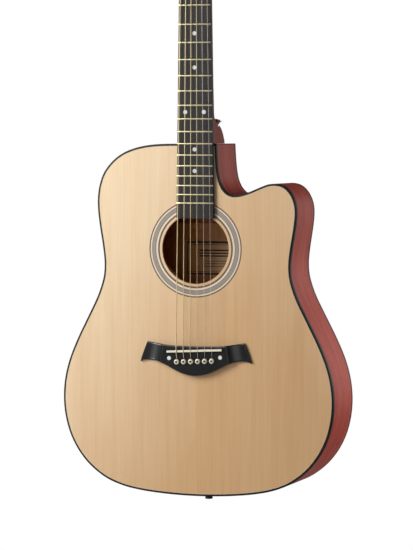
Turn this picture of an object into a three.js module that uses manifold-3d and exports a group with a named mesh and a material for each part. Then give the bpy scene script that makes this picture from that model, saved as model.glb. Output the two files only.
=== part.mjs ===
// A full-size steel-string acoustic guitar with a rounded cutaway, hanging upright by its headstock.
// Millimetres. +Z runs up the neck towards the headstock, the soundboard faces -Y, and +X is the treble side, where the cutaway is.
// Every dimension below is in the luthier's frame: z = 0 where the neck meets the body, y = 0 on the soundboard's surface.
// The root group then moves the origin to the point where a wall hanger's yoke carries the headstock.
import * as THREE from "three";
import { mergeVertices } from "three/addons/utils/BufferGeometryUtils.js";
import Module from "manifold-3d";

const wasm = await Module();
wasm.setup();

// ---- driving dimensions ----
const SCALE = 650; // nut to the theoretical bridge line
const BODY_FRET = 14; // the fret over the neck joint
const FRETS = 20;
const GAP = 0.15; // glue line between two bonded pieces
const FIT = 0.3; // gap of a piece that was cut to its neighbour, or that moves
const BIND_W = 2.2, BIND_H = 6; // edge binding on the plate's face and down the side
const SIDE_T = 2.4, TOP_T = 3, BACK_T = 3; // side, soundboard and back thickness
const LINING_W = 6, LINING_H = 13;
const BACK_AT_NECK = 85, BACK_TAPER = 0.045, BACK_ARCH = 5, ARCH_HALF = 205; // body depth and the back's arch
const HOLE_X = -1.3, HOLE_Z = -150.6, HOLE_R = 50.2, ROSETTE_IN = 53.8, ROSETTE_OUT = 69.6;
const BOARD_T = 6.5, BOARD_END = -106.8, NUT_W = 43, BOARD_TAPER = 0.0281;
const FRET_H = 1.0, FRET_CROWN = 2.0, FRET_TANG = 0.6, FRET_TANG_D = 2.2;
const HEAD_ANGLE = 14, HEAD_T = 14, HEAD_LEN = 172, VENEER_T = 1.5;
const BRIDGE_T = 8.6, WING_T = 4.6, PIN_PITCH = 10.6, SADDLE_W = 3, SADDLE_HALF = 41.5;
const STRING_SPREAD_NUT = 36, STRING_SPREAD_SADDLE = 53.5;
const STRING_D = [1.35, 1.07, 0.82, 0.61, 0.41, 0.31]; // low E to high E
const POST_V = [32, 69, 106], POST_U = 26.5, POST_R = 3;
const GEAR_TEETH = 14, MODULE = 0.7, WORM_PITCH = Math.PI * MODULE;
const HANGER = [0, 8, 372]; // the origin, in the luthier's frame

const fretZ = (n) => SCALE * 2 ** (-n / 12) - SCALE * 2 ** (-BODY_FRET / 12);
const NUT_Z = fretZ(0);
const boardHalf = (z) => (NUT_W + (NUT_Z - z) * BOARD_TAPER) / 2;

// The body's outer edge seen from the front, from the top of the neck block round the bass side, the tail and the cutaway.
const BASS = [[-15, 0], [-63.5, -1], [-78.8, -2.9], [-94, -6.4], [-109.5, -12.3], [-124.9, -22.4], [-140.2, -40.2], [-147.4, -58], [-150.4, -76], [-150.4, -94], [-140.5, -171], [-141.5, -189.5], [-146, -206.7], [-153, -224.3], [-188, -294.9], [-195, -312.6], [-200.2, -330.3], [-203.4, -348], [-204.6, -366], [-203.8, -383.5], [-201, -400.5], [-196, -418], [-188.2, -435.3], [-177.2, -452.3], [-161.6, -469], [-138, -485.6], [-112, -495.6], [-86.5, -500.8], [-61.8, -503.7], [-12, -506.4]];
const LOWER_TREBLE = BASS.slice(11).map(([x, z]) => [-x, z]).reverse();
const CUTAWAY = [[140.5, -172], [142.6, -152], [148.7, -115], [150.1, -99.6], [149.3, -88.2], [146.5, -78.6], [141.6, -69.6], [134.4, -62], [126.6, -58.2], [117.1, -56.8], [107.6, -57.8], [71, -71.4], [63.2, -73.1], [55.5, -73.5], [50.4, -72.2], [45, -68.8], [39.4, -61.8], [35.8, -53.5], [33.4, -43], [32, -30], [30.6, 0], [15, 0]];
const OUTLINE = [...BASS, ...LOWER_TREBLE, ...CUTAWAY];

// ---- shape helpers ----
const V2 = (p) => new THREE.Vector2(p[0], p[1]);

function solid(geometry) {
  const g = (geometry.index ? geometry.toNonIndexed() : geometry.clone());
  g.deleteAttribute("normal");
  g.deleteAttribute("uv");
  const m = mergeVertices(g, 1e-4);
  return new wasm.Manifold(new wasm.Mesh({ numProp: 3, vertProperties: new Float32Array(m.attributes.position.array), triVerts: new Uint32Array(m.index.array) }));
}

function geometryOf(manifold) {
  const m = manifold.getMesh(), v = new Float32Array(m.numVert * 3);
  for (let i = 0; i < m.numVert; i++) v.set(m.vertProperties.subarray(i * m.numProp, i * m.numProp + 3), i * 3);
  const g = new THREE.BufferGeometry().setAttribute("position", new THREE.BufferAttribute(v, 3)).setIndex(new THREE.BufferAttribute(new Uint32Array(m.triVerts), 1));
  g.computeVertexNormals();
  return g;
}

function area(p) {
  return p.reduce((s, a, i) => { const b = p[(i + 1) % p.length]; return s + a[0] * b[1] - b[0] * a[1]; }, 0) / 2;
}

// A closed outline moved inwards by d, each corner mitred.
function inset(points, d) {
  const n = points.length, s = area(points) > 0 ? 1 : -1;
  return points.map((p, i) => {
    const a = points[(i + n - 1) % n], b = points[(i + 1) % n];
    let e1 = [p[0] - a[0], p[1] - a[1]], e2 = [b[0] - p[0], b[1] - p[1]];
    const l1 = Math.hypot(...e1), l2 = Math.hypot(...e2);
    e1 = e1.map((x) => x / l1); e2 = e2.map((x) => x / l2);
    const n1 = [-e1[1] * s, e1[0] * s], n2 = [-e2[1] * s, e2[0] * s];
    const m = [n1[0] + n2[0], n1[1] + n2[1]], k = d / (1 + n1[0] * n2[0] + n1[1] * n2[1]);
    return [p[0] + m[0] * k, p[1] + m[1] * k];
  });
}

// A prism with the (x, z) outline between y0 and y1, with holes.
function prism(points, y0, y1, holes = []) {
  const shape = new THREE.Shape(points.map(V2));
  for (const h of holes) shape.holes.push(new THREE.Path(h.map(V2)));
  const g = new THREE.ExtrudeGeometry(shape, { depth: y1 - y0, bevelEnabled: false, curveSegments: 1 });
  g.rotateX(Math.PI / 2);
  g.translate(0, y1, 0);
  return solid(g);
}

const circle = (cx, cz, r, n) => Array.from({ length: n }, (_, i) => [cx + r * Math.cos((2 * Math.PI * i) / n), cz + r * Math.sin((2 * Math.PI * i) / n)]);
const box = (x0, x1, y0, y1, z0, z1) => solid(new THREE.BoxGeometry(x1 - x0, y1 - y0, z1 - z0).translate((x0 + x1) / 2, (y0 + y1) / 2, (z0 + z1) / 2));

// A turned solid: profile of [radius, height] along +Y, then turned so that its axis points along dir, with its base at pos.
function turned(profile, n, pos = [0, 0, 0], dir = [0, 1, 0]) {
  const g = new THREE.LatheGeometry(profile.map(V2), n);
  g.applyQuaternion(new THREE.Quaternion().setFromUnitVectors(new THREE.Vector3(0, 1, 0), new THREE.Vector3(...dir).normalize()));
  g.translate(...pos);
  return solid(g);
}
const rod = (r, from, to, n = 12) => {
  const d = new THREE.Vector3(...to).sub(new THREE.Vector3(...from));
  return turned([[0, 0], [r, 0], [r, d.length()], [0, d.length()]], n, from, d.toArray());
};

// A solid through a stack of closed sections with the same number of points.
function loft(sections) {
  const n = sections[0].length, pos = [], tri = [];
  sections.forEach((s) => s.forEach((p) => pos.push(...p)));
  for (let i = 0; i + 1 < sections.length; i++)
    for (let j = 0; j < n; j++) {
      const a = i * n + j, b = i * n + ((j + 1) % n), c = a + n, d = b + n;
      tri.push(a, b, d, a, d, c);
    }
  for (const [i, flip] of [[0, true], [sections.length - 1, false]]) {
    const s = sections[i];
    const u = new THREE.Vector3().subVectors(new THREE.Vector3(...s[1]), new THREE.Vector3(...s[0]));
    const c = s.reduce((m, p) => m.add(new THREE.Vector3(...p)), new THREE.Vector3()).divideScalar(n);
    let nrm = new THREE.Vector3();
    for (let j = 0; j < n; j++) nrm.add(new THREE.Vector3(...s[j]).sub(c).cross(new THREE.Vector3(...s[(j + 1) % n]).sub(c)));
    nrm.normalize(); u.normalize();
    const w = new THREE.Vector3().crossVectors(nrm, u);
    const flat = s.map((p) => { const q = new THREE.Vector3(...p).sub(c); return new THREE.Vector2(q.dot(u), q.dot(w)); });
    for (const f of THREE.ShapeUtils.triangulateShape(flat, [])) tri.push(...(flip ? [f[0], f[2], f[1]] : f).map((k) => i * n + k));
  }
  const g = new THREE.BufferGeometry().setAttribute("position", new THREE.BufferAttribute(new Float32Array(pos), 3)).setIndex(tri);
  let m = solid(g);
  if (m.volume() < 0) { for (let i = 0; i < tri.length; i += 3) [tri[i + 1], tri[i + 2]] = [tri[i + 2], tri[i + 1]]; g.setIndex(tri); m = solid(g); }
  return m;
}

// A round wire of radius r through points, one n-sided section a point, mitred.
function wire(points, r, n = 6) {
  const P = points.map((p) => new THREE.Vector3(...p)), secs = [];
  let side = null;
  P.forEach((p, i) => {
    const a = i ? p.clone().sub(P[i - 1]).normalize() : null, b = i + 1 < P.length ? P[i + 1].clone().sub(p).normalize() : null;
    const t = (a && b ? a.clone().add(b) : a || b).normalize(), stretch = a && b ? 1 / Math.max(0.5, t.dot(a)) : 1;
    if (!side) side = Math.abs(t.x) < 0.9 ? new THREE.Vector3(1, 0, 0) : new THREE.Vector3(0, 1, 0);
    side = side.clone().sub(t.clone().multiplyScalar(side.dot(t))).normalize();
    const up = new THREE.Vector3().crossVectors(t, side);
    const bend = a && b ? b.clone().sub(a) : new THREE.Vector3();
    const bn = bend.length() > 1e-6 ? bend.normalize() : null;
    secs.push(Array.from({ length: n }, (_, k) => {
      const th = (2 * Math.PI * k) / n, o = side.clone().multiplyScalar(Math.cos(th) * r).add(up.clone().multiplyScalar(Math.sin(th) * r));
      if (bn) { const c = bn.clone().sub(t.clone().multiplyScalar(bn.dot(t))).normalize(); o.add(c.multiplyScalar(o.dot(c) * (stretch - 1))); }
      return p.clone().add(o).toArray();
    }));
  });
  return loft(secs);
}

// ---- materials ----
const mat = (color, roughness, metalness = 0) => new THREE.MeshStandardMaterial({ color, roughness, metalness });
const SPRUCE = mat(0xdcb98a, 0.45), MAHOGANY = mat(0x74302a, 0.5), INNER = mat(0xb88a5c, 0.8), BRACE = mat(0xcfae7e, 0.85), BLACK = mat(0x17130f, 0.45), BOARD = mat(0x2e2927, 0.55), METAL = mat(0xc9bd94, 0.3, 1);
const BONE = mat(0xefe4c8, 0.4), PEARL = mat(0xe8e6df, 0.3), NICKEL = mat(0xb9b7b0, 0.25, 1), BRONZE = mat(0xb99a5a, 0.35, 1), STEEL = mat(0xb8bcc0, 0.3, 1), CREAM = mat(0x9d968c, 0.5);

const root = new THREE.Group();
const body = new THREE.Group(), neckGroup = new THREE.Group(), head = new THREE.Group();
root.add(body, neckGroup);
neckGroup.add(head);
const add = (group, name, manifold, material) => {
  const mesh = new THREE.Mesh(geometryOf(manifold), material);
  mesh.name = name;
  group.add(mesh);
  return mesh;
};

// ---- the body's shell ----
// Everything behind the back's outer surface moved forward by off: the surface arches across and gets deeper towards the tail.
const backY = (x, z) => BACK_AT_NECK - BACK_TAPER * z + BACK_ARCH * (1 - (x / ARCH_HALF) ** 2);
function behind(off) {
  const xs = [-230, -185, -130, -70, 0, 70, 130, 185, 230];
  const sec = (z) => [...xs.map((x) => [x, backY(x, z) - off, z]), [230, 260, z], [-230, 260, z]];
  return loft([sec(-560), sec(60)]);
}
const O0 = OUTLINE, O_BIND = inset(O0, BIND_W), O_PLATE = inset(O0, BIND_W + GAP), O_SIDE = inset(O0, SIDE_T), O_LIN0 = inset(O0, SIDE_T + GAP), O_LIN1 = inset(O0, SIDE_T + GAP + LINING_W);
const back0 = behind(0);

const rosetteRing = [circle(HOLE_X, HOLE_Z, ROSETTE_OUT, 36), circle(HOLE_X, HOLE_Z, ROSETTE_IN, 36)];
// The rosette lies in a shallow channel; the fretboard's end is let into it, so the channel stops there.
const rosette = prism(rosetteRing[0], 0, 1.0, [rosetteRing[1]]);
const rosetteChannel = prism(circle(HOLE_X, HOLE_Z, ROSETTE_OUT + FIT, 36), -5, 1.0 + FIT, [circle(HOLE_X, HOLE_Z, ROSETTE_IN - FIT, 36)]);
const PINS = Array.from({ length: 6 }, (_, i) => [(i - 2.5) * PIN_PITCH, -312.6 + i * 0.45]);
const PIN_R = 2.7, PIN_HOLE = PIN_R + FIT;
// A hole for a pin with, on its neck side, a notch for the string that lies against the pin.
const NOTCH_W = 2.4, NOTCH_D = 7.4;
const pinHole = (i, y0, y1) => {
  const [x, z] = PINS[i];
  return prism(circle(x, z, PIN_HOLE, 10), y0, y1).add(box(x - NOTCH_W / 2, x + NOTCH_W / 2, y0, y1, z, z + NOTCH_D));
};
let soundboard = prism(O_PLATE, 0, TOP_T, [circle(HOLE_X, HOLE_Z, HOLE_R, 36)]).subtract(rosetteChannel);
for (let i = 0; i < 6; i++) soundboard = soundboard.subtract(pinHole(i, -2, 6));
add(body, "soundboard", soundboard, SPRUCE);
add(body, "rosette", rosette, CREAM);
add(body, "binding_top", prism(O0, 0, BIND_H, [O_BIND]), BLACK);
add(body, "back_plate", prism(O_PLATE, 60, 140).intersect(behind(BACK_T)).subtract(back0), MAHOGANY);
add(body, "binding_back", prism(O0, 60, 140, [O_BIND]).intersect(behind(BIND_H)).subtract(back0), BLACK);

// The neck's tenon goes through the sides' ends into the block.
const TENON_W = 20, TENON_D = 62, TENON_L = 16;
const tenonRoom = box(-TENON_W / 2 - FIT, TENON_W / 2 + FIT, BIND_H, TENON_D + FIT, -TENON_L - 3, 5);
const ROD_Y = 8.7, ROD_R = 2;
const PINHOLE_Y = 56, TAIL_Z = -506.4;
const sides = prism(O0, BIND_H + GAP, 140, [O_SIDE]).subtract(behind(BIND_H + GAP)).subtract(tenonRoom).subtract(rod(4.3, [0, PINHOLE_Y, -520], [0, PINHOLE_Y, -480]));
add(body, "side_bass", sides.intersect(box(-260, -GAP / 2, -5, 200, -560, 60)), MAHOGANY);
add(body, "side_treble", sides.intersect(box(GAP / 2, 260, -5, 200, -560, 60)), MAHOGANY);

// ---- inside the body ----
const LIN_Y0 = TOP_T + GAP, backIn = behind(BACK_T + GAP);
const blockRoom = box(-40 - FIT, 40, -5, 200, -66.3, 20);
const neckBlock = prism(inset(O0, SIDE_T + FIT), LIN_Y0, 140).intersect(box(-40, 28, 0, 140, -66, 10)).subtract(behind(BACK_T + FIT)).subtract(tenonRoom).subtract(rod(4.4, [0, ROD_Y, -80], [0, ROD_Y, 10]));
add(body, "neck_block", neckBlock, INNER);
const tailBlock = prism(inset(O0, SIDE_T + FIT), LIN_Y0, 140).intersect(box(-38, 38, 0, 140, -520, -486)).subtract(behind(BACK_T + FIT)).subtract(rod(4.3, [0, PINHOLE_Y, -520], [0, PINHOLE_Y, -480]));
add(body, "tail_block", tailBlock, INNER);
const tailRoom = box(-38 - FIT, 38 + FIT, -5, 200, -530, -485.7);
const liningRing = (y0, y1) => prism(O_LIN0, y0, y1, [O_LIN1]).subtract(blockRoom).subtract(tailRoom);
const topLining = liningRing(LIN_Y0, LIN_Y0 + LINING_H), backLining = liningRing(50, 140).intersect(behind(BACK_T + GAP + LINING_H)).subtract(backIn);
const bassHalf = box(-260, 0, -5, 200, -560, 60), trebleHalf = box(0, 260, -5, 200, -560, 60);
add(body, "lining_top_bass", topLining.intersect(bassHalf), BRACE);
add(body, "lining_top_treble", topLining.intersect(trebleHalf), BRACE);
add(body, "lining_back_bass", backLining.intersect(bassHalf), BRACE);
add(body, "lining_back_treble", backLining.intersect(trebleHalf), BRACE);

// The X brace crosses below the sound hole, half-lapped, and stops at the linings.
const X_Z = -232, X_ANGLE = 44, BR_W = 8, BR_H = 14;
const inner = prism(inset(O0, SIDE_T + GAP + LINING_W + FIT), 0, 140).subtract(box(-40 - 2 * FIT, 40, -5, 200, -66.6, 20));
const brace = (sign) => {
  const g = new THREE.BoxGeometry(BR_W, BR_H, 470).translate(0, LIN_Y0 + BR_H / 2, 0);
  g.rotateY((sign * X_ANGLE * Math.PI) / 180);
  g.translate(0, 0, X_Z);
  return solid(g).intersect(inner).intersect(prism([[-134, -105], [134, -105], [172, -395], [172, -425], [-172, -425], [-172, -395]], 0, 60));
};
const lap = 2 * BR_W;
add(body, "x_brace_bass_top", brace(1).subtract(box(-lap, lap, LIN_Y0 + BR_H / 2 - FIT / 2, 40, X_Z - lap, X_Z + lap)), BRACE);
add(body, "x_brace_treble_top", brace(-1).subtract(box(-lap, lap, 0, LIN_Y0 + BR_H / 2 + FIT / 2, X_Z - lap, X_Z + lap)), BRACE);
add(body, "upper_brace", box(-200, 200, LIN_Y0, LIN_Y0 + 15, -93, -83).intersect(inner).subtract(rod(4.8, [0, ROD_Y, -100], [0, ROD_Y, -70])), BRACE);
let plate = prism([[-42, -289], [42, -289], [86, -338], [-86, -338]], LIN_Y0, LIN_Y0 + 2.6);
for (let i = 0; i < 6; i++) plate = plate.subtract(pinHole(i, 0, 8));
add(body, "bridge_plate", plate, BRACE);
const backBrace = (z, w) => inner.intersect(box(-200, 200, 0, 140, z - w / 2, z + w / 2)).intersect(behind(BACK_T + GAP + 13)).subtract(backIn);
add(body, "back_brace_upper", backBrace(-120, 8), BRACE);
add(body, "back_brace_lower", backBrace(-330, 14), BRACE);

// ---- the end pin at the tail ----
add(body, "end_pin", turned([[0, 0], [3.6, 0], [3.9, 27.8], [5.2, 27.8], [5.2, 29.6], [3.6, 31.4], [3.6, 33.4], [5.6, 35.6], [5.6, 38], [0, 38]], 10, [0, PINHOLE_Y, TAIL_Z + 27.4], [0, 0, -1]), BLACK);

// ---- the neck: shaft, heel, tenon and headstock from one blank ----
const NECK_SEG = 14, HEEL_NARROWING = 0.34, HEEL_END = 86, CAP_T = 2.3;
const shaftDepth = (z) => 14 + (NUT_Z - z) * 0.0075;
// One closed section of the neck at height z: the flat top is at y = 0, the back is round on the shaft and keel-shaped on the heel.
function neckSection(z, half, depth, heel) {
  const pts = [];
  for (let k = 0; k <= NECK_SEG; k++) {
    const t = (Math.PI * k) / NECK_SEG, c = Math.cos(t), s = Math.sin(t);
    const round = [half * Math.sign(c) * Math.abs(c) ** 0.8, depth * s ** 0.85];
    const f = s ** 0.75, keel = [Math.sign(c) * half * (Math.abs(c) ** 0.22) * (1 - HEEL_NARROWING * f), depth * f];
    pts.push([round[0] * (1 - heel) + keel[0] * heel, round[1] * (1 - heel) + keel[1] * heel, z]);
  }
  return pts;
}
const HEEL = [[0.2, 91, 1], [6, 89.5, 1], [12, 86, 1], [18, 80.5, 0.98], [24, 71.5, 0.93], [29, 59, 0.83], [33, 44, 0.66], [38, 31, 0.42], [45, 24, 0.2], [56, 20, 0.06], [75, 17.6, 0]];
const stations = HEEL.map(([z, d, h]) => neckSection(z, boardHalf(z), Math.max(d, shaftDepth(z)), h));
for (const z of [130, 190, 250, 310, 350]) stations.push(neckSection(z, boardHalf(z), shaftDepth(z), 0));
stations.push(neckSection(367, boardHalf(NUT_Z), shaftDepth(NUT_Z) + 1, 0));
const shaft = loft(stations);

head.position.set(0, 0, 366.2);
head.rotation.x = (-HEAD_ANGLE * Math.PI) / 180;
head.updateMatrix();
// In the headstock's own frame x is across, z runs to its tip and y goes from its face to its back.
const HEAD_SIDE = [[21.6, -2], [22.2, 3], [24.6, 9], [29.4, 15], [34.2, 19.5], [36.2, 26], [36.9, 45], [38.2, 90], [39.6, 130], [40.4, 150], [38.5, 158], [32, 161.5], [22, 163.5], [12, 167.5], [5, 171.2], [0, 172]];
const HEAD_OUTLINE = [...HEAD_SIDE, ...HEAD_SIDE.slice(0, -1).reverse().map(([x, z]) => [-x, z])];
const POSTS = [...POST_V.map((v, i) => ({ u: -POST_U, v, name: ["6", "5", "4"][i], string: i })), ...POST_V.map((v, i) => ({ u: POST_U, v, name: ["1", "2", "3"][i], string: 5 - i }))];
let headWood = prism(HEAD_OUTLINE, 0, HEAD_T);
for (const p of POSTS) headWood = headWood.subtract(rod(POST_R + FIT, [p.u, -5, p.v], [p.u, 30, p.v], 10));
// The volute under the nut joins the headstock to the shaft.
const e = head.matrix.elements;
const place = (m, matrix) => m.transform(Array.from(matrix));
const headPlaced = place(headWood, e);
// Nothing of the headstock's blank stands in front of the neck's flat top below the nut.
const NECK_TOP_CUT = box(-60, 60, -40, 0, 200, 372);
const rodChannel = box(-2.6, 2.6, -2, ROD_Y + ROD_R + FIT, -20, 352);
const BUTTON_AT = [20, 33, 25.5], BUTTON_DIR = [0.3, 0.05, 0.953];
const buttonSeat = rod(5, BUTTON_AT.map((c, i) => c - (FIT * BUTTON_DIR[i])), BUTTON_AT.map((c, i) => c + 30 * BUTTON_DIR[i]), 12);
const tenon = box(-TENON_W / 2, TENON_W / 2, BIND_H + GAP + FIT, TENON_D, -TENON_L, 6);
// The heel ends in a flat face, and a cap of the same outline covers it.
const heelEnd = box(-60, 60, HEEL_END, 140, -5, 60), capRoom = box(-60, 60, HEEL_END + FIT, HEEL_END + FIT + CAP_T, -5, 60);
const neck = shaft.subtract(heelEnd).add(headPlaced).subtract(NECK_TOP_CUT).add(tenon).subtract(rodChannel).subtract(buttonSeat);
add(neckGroup, "neck", neck, MAHOGANY);
let veneer = prism(inset(HEAD_OUTLINE, 0.2), -GAP - VENEER_T, -GAP).intersect(box(-60, 60, -5, 5, 1.2, 200));
for (const p of POSTS) veneer = veneer.subtract(rod(POST_R + FIT, [p.u, -5, p.v], [p.u, 30, p.v], 10));
add(head, "headstock_veneer", veneer, BLACK);

add(neckGroup, "heel_cap", shaft.intersect(capRoom), MAHOGANY);

// ---- fretboard, frets, position dots, nut and truss rod ----
const BOARD_Y1 = -GAP, BOARD_Y0 = BOARD_Y1 - BOARD_T;
const bw = (z) => boardHalf(z);
let board = prism([[-bw(BOARD_END), BOARD_END], [bw(BOARD_END), BOARD_END], [bw(NUT_Z), NUT_Z], [-bw(NUT_Z), NUT_Z]], BOARD_Y0, BOARD_Y1);
const DOTS = [[3, 0], [5, 0], [7, 0], [9, 0], [12, -14], [12, 14], [15, 0], [17, 0]].map(([n, x]) => [x, (fretZ(n) + fretZ(n - 1)) / 2]);
// All frets are one node: a strip in a groove under the board's face, off the centre line, joins their tangs. The dots are one node in the same way, joined on the board's underside.
const SPINE_X = 7.5, DOT_R = 3;
let frets = box(SPINE_X - 0.3, SPINE_X + 0.3, BOARD_Y0 + 1.4, BOARD_Y0 + FRET_TANG_D, fretZ(FRETS), fretZ(1));
let slots = box(SPINE_X - 0.3 - FIT, SPINE_X + 0.3 + FIT, BOARD_Y0 - 1, BOARD_Y0 + FRET_TANG_D + FIT, fretZ(FRETS) - 0.3 - FIT, fretZ(1) + 0.3 + FIT);
for (let n = 1; n <= FRETS; n++) {
  const z = fretZ(n), h = bw(z) - 0.4, c = FRET_CROWN / 2, y = BOARD_Y0 - 0.02;
  const crown = loft([-h, h].map((x) => [[x, y, z - c], [x, y - FRET_H, z - c * 0.4], [x, y - FRET_H, z + c * 0.4], [x, y, z + c]]));
  frets = frets.add(crown).add(box(-h, h, y - 0.2, BOARD_Y0 + FRET_TANG_D, z - FRET_TANG / 2, z + FRET_TANG / 2));
  slots = slots.add(box(-h - 5, h + 5, BOARD_Y0 - 1, BOARD_Y0 + FRET_TANG_D + FIT, z - FRET_TANG / 2 - FIT, z + FRET_TANG / 2 + FIT));
}
const dotStrip = 0.5;
let dots = box(-0.5, 0.5, BOARD_Y1 - dotStrip, BOARD_Y1, DOTS[7][1], DOTS[0][1]).add(box(-14, 14, BOARD_Y1 - dotStrip, BOARD_Y1, DOTS[4][1] - 0.5, DOTS[4][1] + 0.5));
let dotHoles = box(-0.5 - FIT, 0.5 + FIT, BOARD_Y1 - dotStrip - FIT, 1, DOTS[7][1], DOTS[0][1]).add(box(-14, 14, BOARD_Y1 - dotStrip - FIT, 1, DOTS[4][1] - 0.5 - FIT, DOTS[4][1] + 0.5 + FIT));
for (const [x, z] of DOTS) {
  dots = dots.add(prism(circle(x, z, DOT_R, 8), BOARD_Y0, BOARD_Y1));
  dotHoles = dotHoles.add(prism(circle(x, z, DOT_R + FIT + 0.1, 8), BOARD_Y0 - 1, 1));
}
add(neckGroup, "fretboard", board.subtract(slots).subtract(dotHoles), BOARD);
add(neckGroup, "frets", frets, METAL);
add(neckGroup, "position_dots", dots, PEARL);

// String height: over the nut, and over the saddle so that the twelfth fret has its clearance.
const NUT_Y = BOARD_Y0 - FRET_H - 0.6, SADDLE_Y = 2 * (BOARD_Y0 - FRET_H - 2.4) - NUT_Y;
const nutX = (i) => -STRING_SPREAD_NUT / 2 + (STRING_SPREAD_NUT / 5) * i, sadX = (i) => -STRING_SPREAD_SADDLE / 2 + (STRING_SPREAD_SADDLE / 5) * i;
const sadZ = (x) => -296.2 + (x / SADDLE_HALF) * 1.9;
let nut = loft([-21.4, 21.4].map((x) => [[x, -GAP, NUT_Z + 0.25], [x, NUT_Y - 0.5, NUT_Z + 0.25], [x, NUT_Y + 0.4, NUT_Z + 5.2], [x, -GAP, NUT_Z + 5.2]]));
for (let i = 0; i < 6; i++) { const r = STRING_D[i] / 2 + 0.1; nut = nut.subtract(loft([[-1, 0.12], [4.8, 0.48], [8, 2.6]].map(([dz, dy]) => [[nutX(i) - r, NUT_Y - 4, NUT_Z + dz], [nutX(i) + r, NUT_Y - 4, NUT_Z + dz], [nutX(i) + r, NUT_Y + r + dy, NUT_Z + dz], [nutX(i) - r, NUT_Y + r + dy, NUT_Z + dz]]))); }
add(neckGroup, "nut", nut, BONE);
add(neckGroup, "truss_rod", rod(ROD_R, [0, ROD_Y, -62.5], [0, ROD_Y, 350], 8), STEEL);
const trussNut = turned([[0, 0], [3.9, 0], [3.9, 11], [2.3, 11], [2.3, 4.5], [0, 4.5]], 12, [0, ROD_Y, -63], [0, 0, -1]);
add(neckGroup, "truss_rod_nut", trussNut, STEEL);

// ---- strap button on the heel's treble side ----
add(neckGroup, "strap_button", turned([[0, 0], [4.2, 0], [4.2, 1.1], [2.9, 2.4], [2.9, 5.6], [4.8, 7.8], [4.8, 9.6], [0, 9.6]], 12, BUTTON_AT, BUTTON_DIR), NICKEL);

// ---- bridge, saddle and dots ----
const BR_HALF = [[73.6, -284.4], [62, -286.1], [50, -288], [35, -289.4], [15, -290.2]];
const BR_LOW = [[84.3, -313.4], [78, -311.4], [70.5, -310.9], [62, -311.6], [54, -313.6], [46, -316.8], [37, -321.2], [28, -325.8], [18.5, -329.6], [9, -331.9]];
const bridgeOutline = [...BR_HALF, ...[...BR_HALF].reverse().map(([x, z]) => [-x, z]), ...[[-79.2, -298.6]], ...BR_LOW.map(([x, z]) => [-x, z]), [0, -332.6], ...[...BR_LOW].reverse(), [79.2, -298.6]];
const BRIDGE_Y1 = -GAP;
let bridge = prism(bridgeOutline, BRIDGE_Y1 - BRIDGE_T, BRIDGE_Y1);
// The wings are scooped: full height at the joint, falling in a curve to a thin outer end.
for (const s of [-1, 1]) {
  const prof = [[47.5, -BRIDGE_T - GAP - 1], [47.5, -BRIDGE_T - GAP + 0.01], [50, -BRIDGE_T + 1.6], [54, -WING_T - 0.5], [60, -WING_T + 0.4], [70, -WING_T + 0.6], [90, -WING_T + 0.3], [90, -BRIDGE_T - GAP - 1]];
  // The joint leans out towards the tail, so the cutter is skewed.
  const g = [-280, -340].map((z) => prof.map(([x, y]) => [s * (x + (-284 - z) * 0.19), y, z]));
  bridge = bridge.subtract(loft(g));
}
const saddleLine = (w) => [[-SADDLE_HALF, sadZ(-SADDLE_HALF) - w], [SADDLE_HALF, sadZ(SADDLE_HALF) - w], [SADDLE_HALF, sadZ(SADDLE_HALF) + w], [-SADDLE_HALF, sadZ(-SADDLE_HALF) + w]];
const slotHalf = SADDLE_HALF + FIT;
bridge = bridge.subtract(prism([[-slotHalf, sadZ(-slotHalf) - SADDLE_W / 2 - FIT], [slotHalf, sadZ(slotHalf) - SADDLE_W / 2 - FIT], [slotHalf, sadZ(slotHalf) + SADDLE_W / 2 + FIT], [-slotHalf, sadZ(-slotHalf) + SADDLE_W / 2 + FIT]], -20, -4));
for (let i = 0; i < 6; i++) bridge = bridge.subtract(pinHole(i, -20, 2));
const BDOT = [[-38.6, -307.6], [38.6, -305.2]], BDOT_R = 2.9;
for (const [x, z] of BDOT) bridge = bridge.subtract(prism(circle(x, z, BDOT_R + FIT, 12), -20, -BRIDGE_T - GAP + 1.6));
add(body, "bridge", bridge, BLACK);
const sadTop = SADDLE_Y + 0.3;
add(body, "saddle", prism(saddleLine(SADDLE_W / 2), sadTop, -4 - FIT), BONE);
BDOT.forEach(([x, z], i) => add(body, ["bridge_dot_bass", "bridge_dot_treble"][i], prism(circle(x, z, BDOT_R, 12), -BRIDGE_T - GAP, -BRIDGE_T - GAP + 1.3), PEARL));
const PIN_HEAD_R = 3.9, PIN_Y = -BRIDGE_T - GAP;
const PIN_NAMES = ["6", "5", "4", "3", "2", "1"];
PINS.forEach(([x, z], i) => add(body, "bridge_pin_" + PIN_NAMES[i], turned([[0, -22], [2.0, -22], [PIN_R, 0.35], [3.5, 0.35], [PIN_HEAD_R, 1.3], [PIN_HEAD_R - 0.6, 2.9], [2, 3.9], [0, 4.1]], 10, [x, PIN_Y, z], [0, -1, 0]), BONE));

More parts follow.
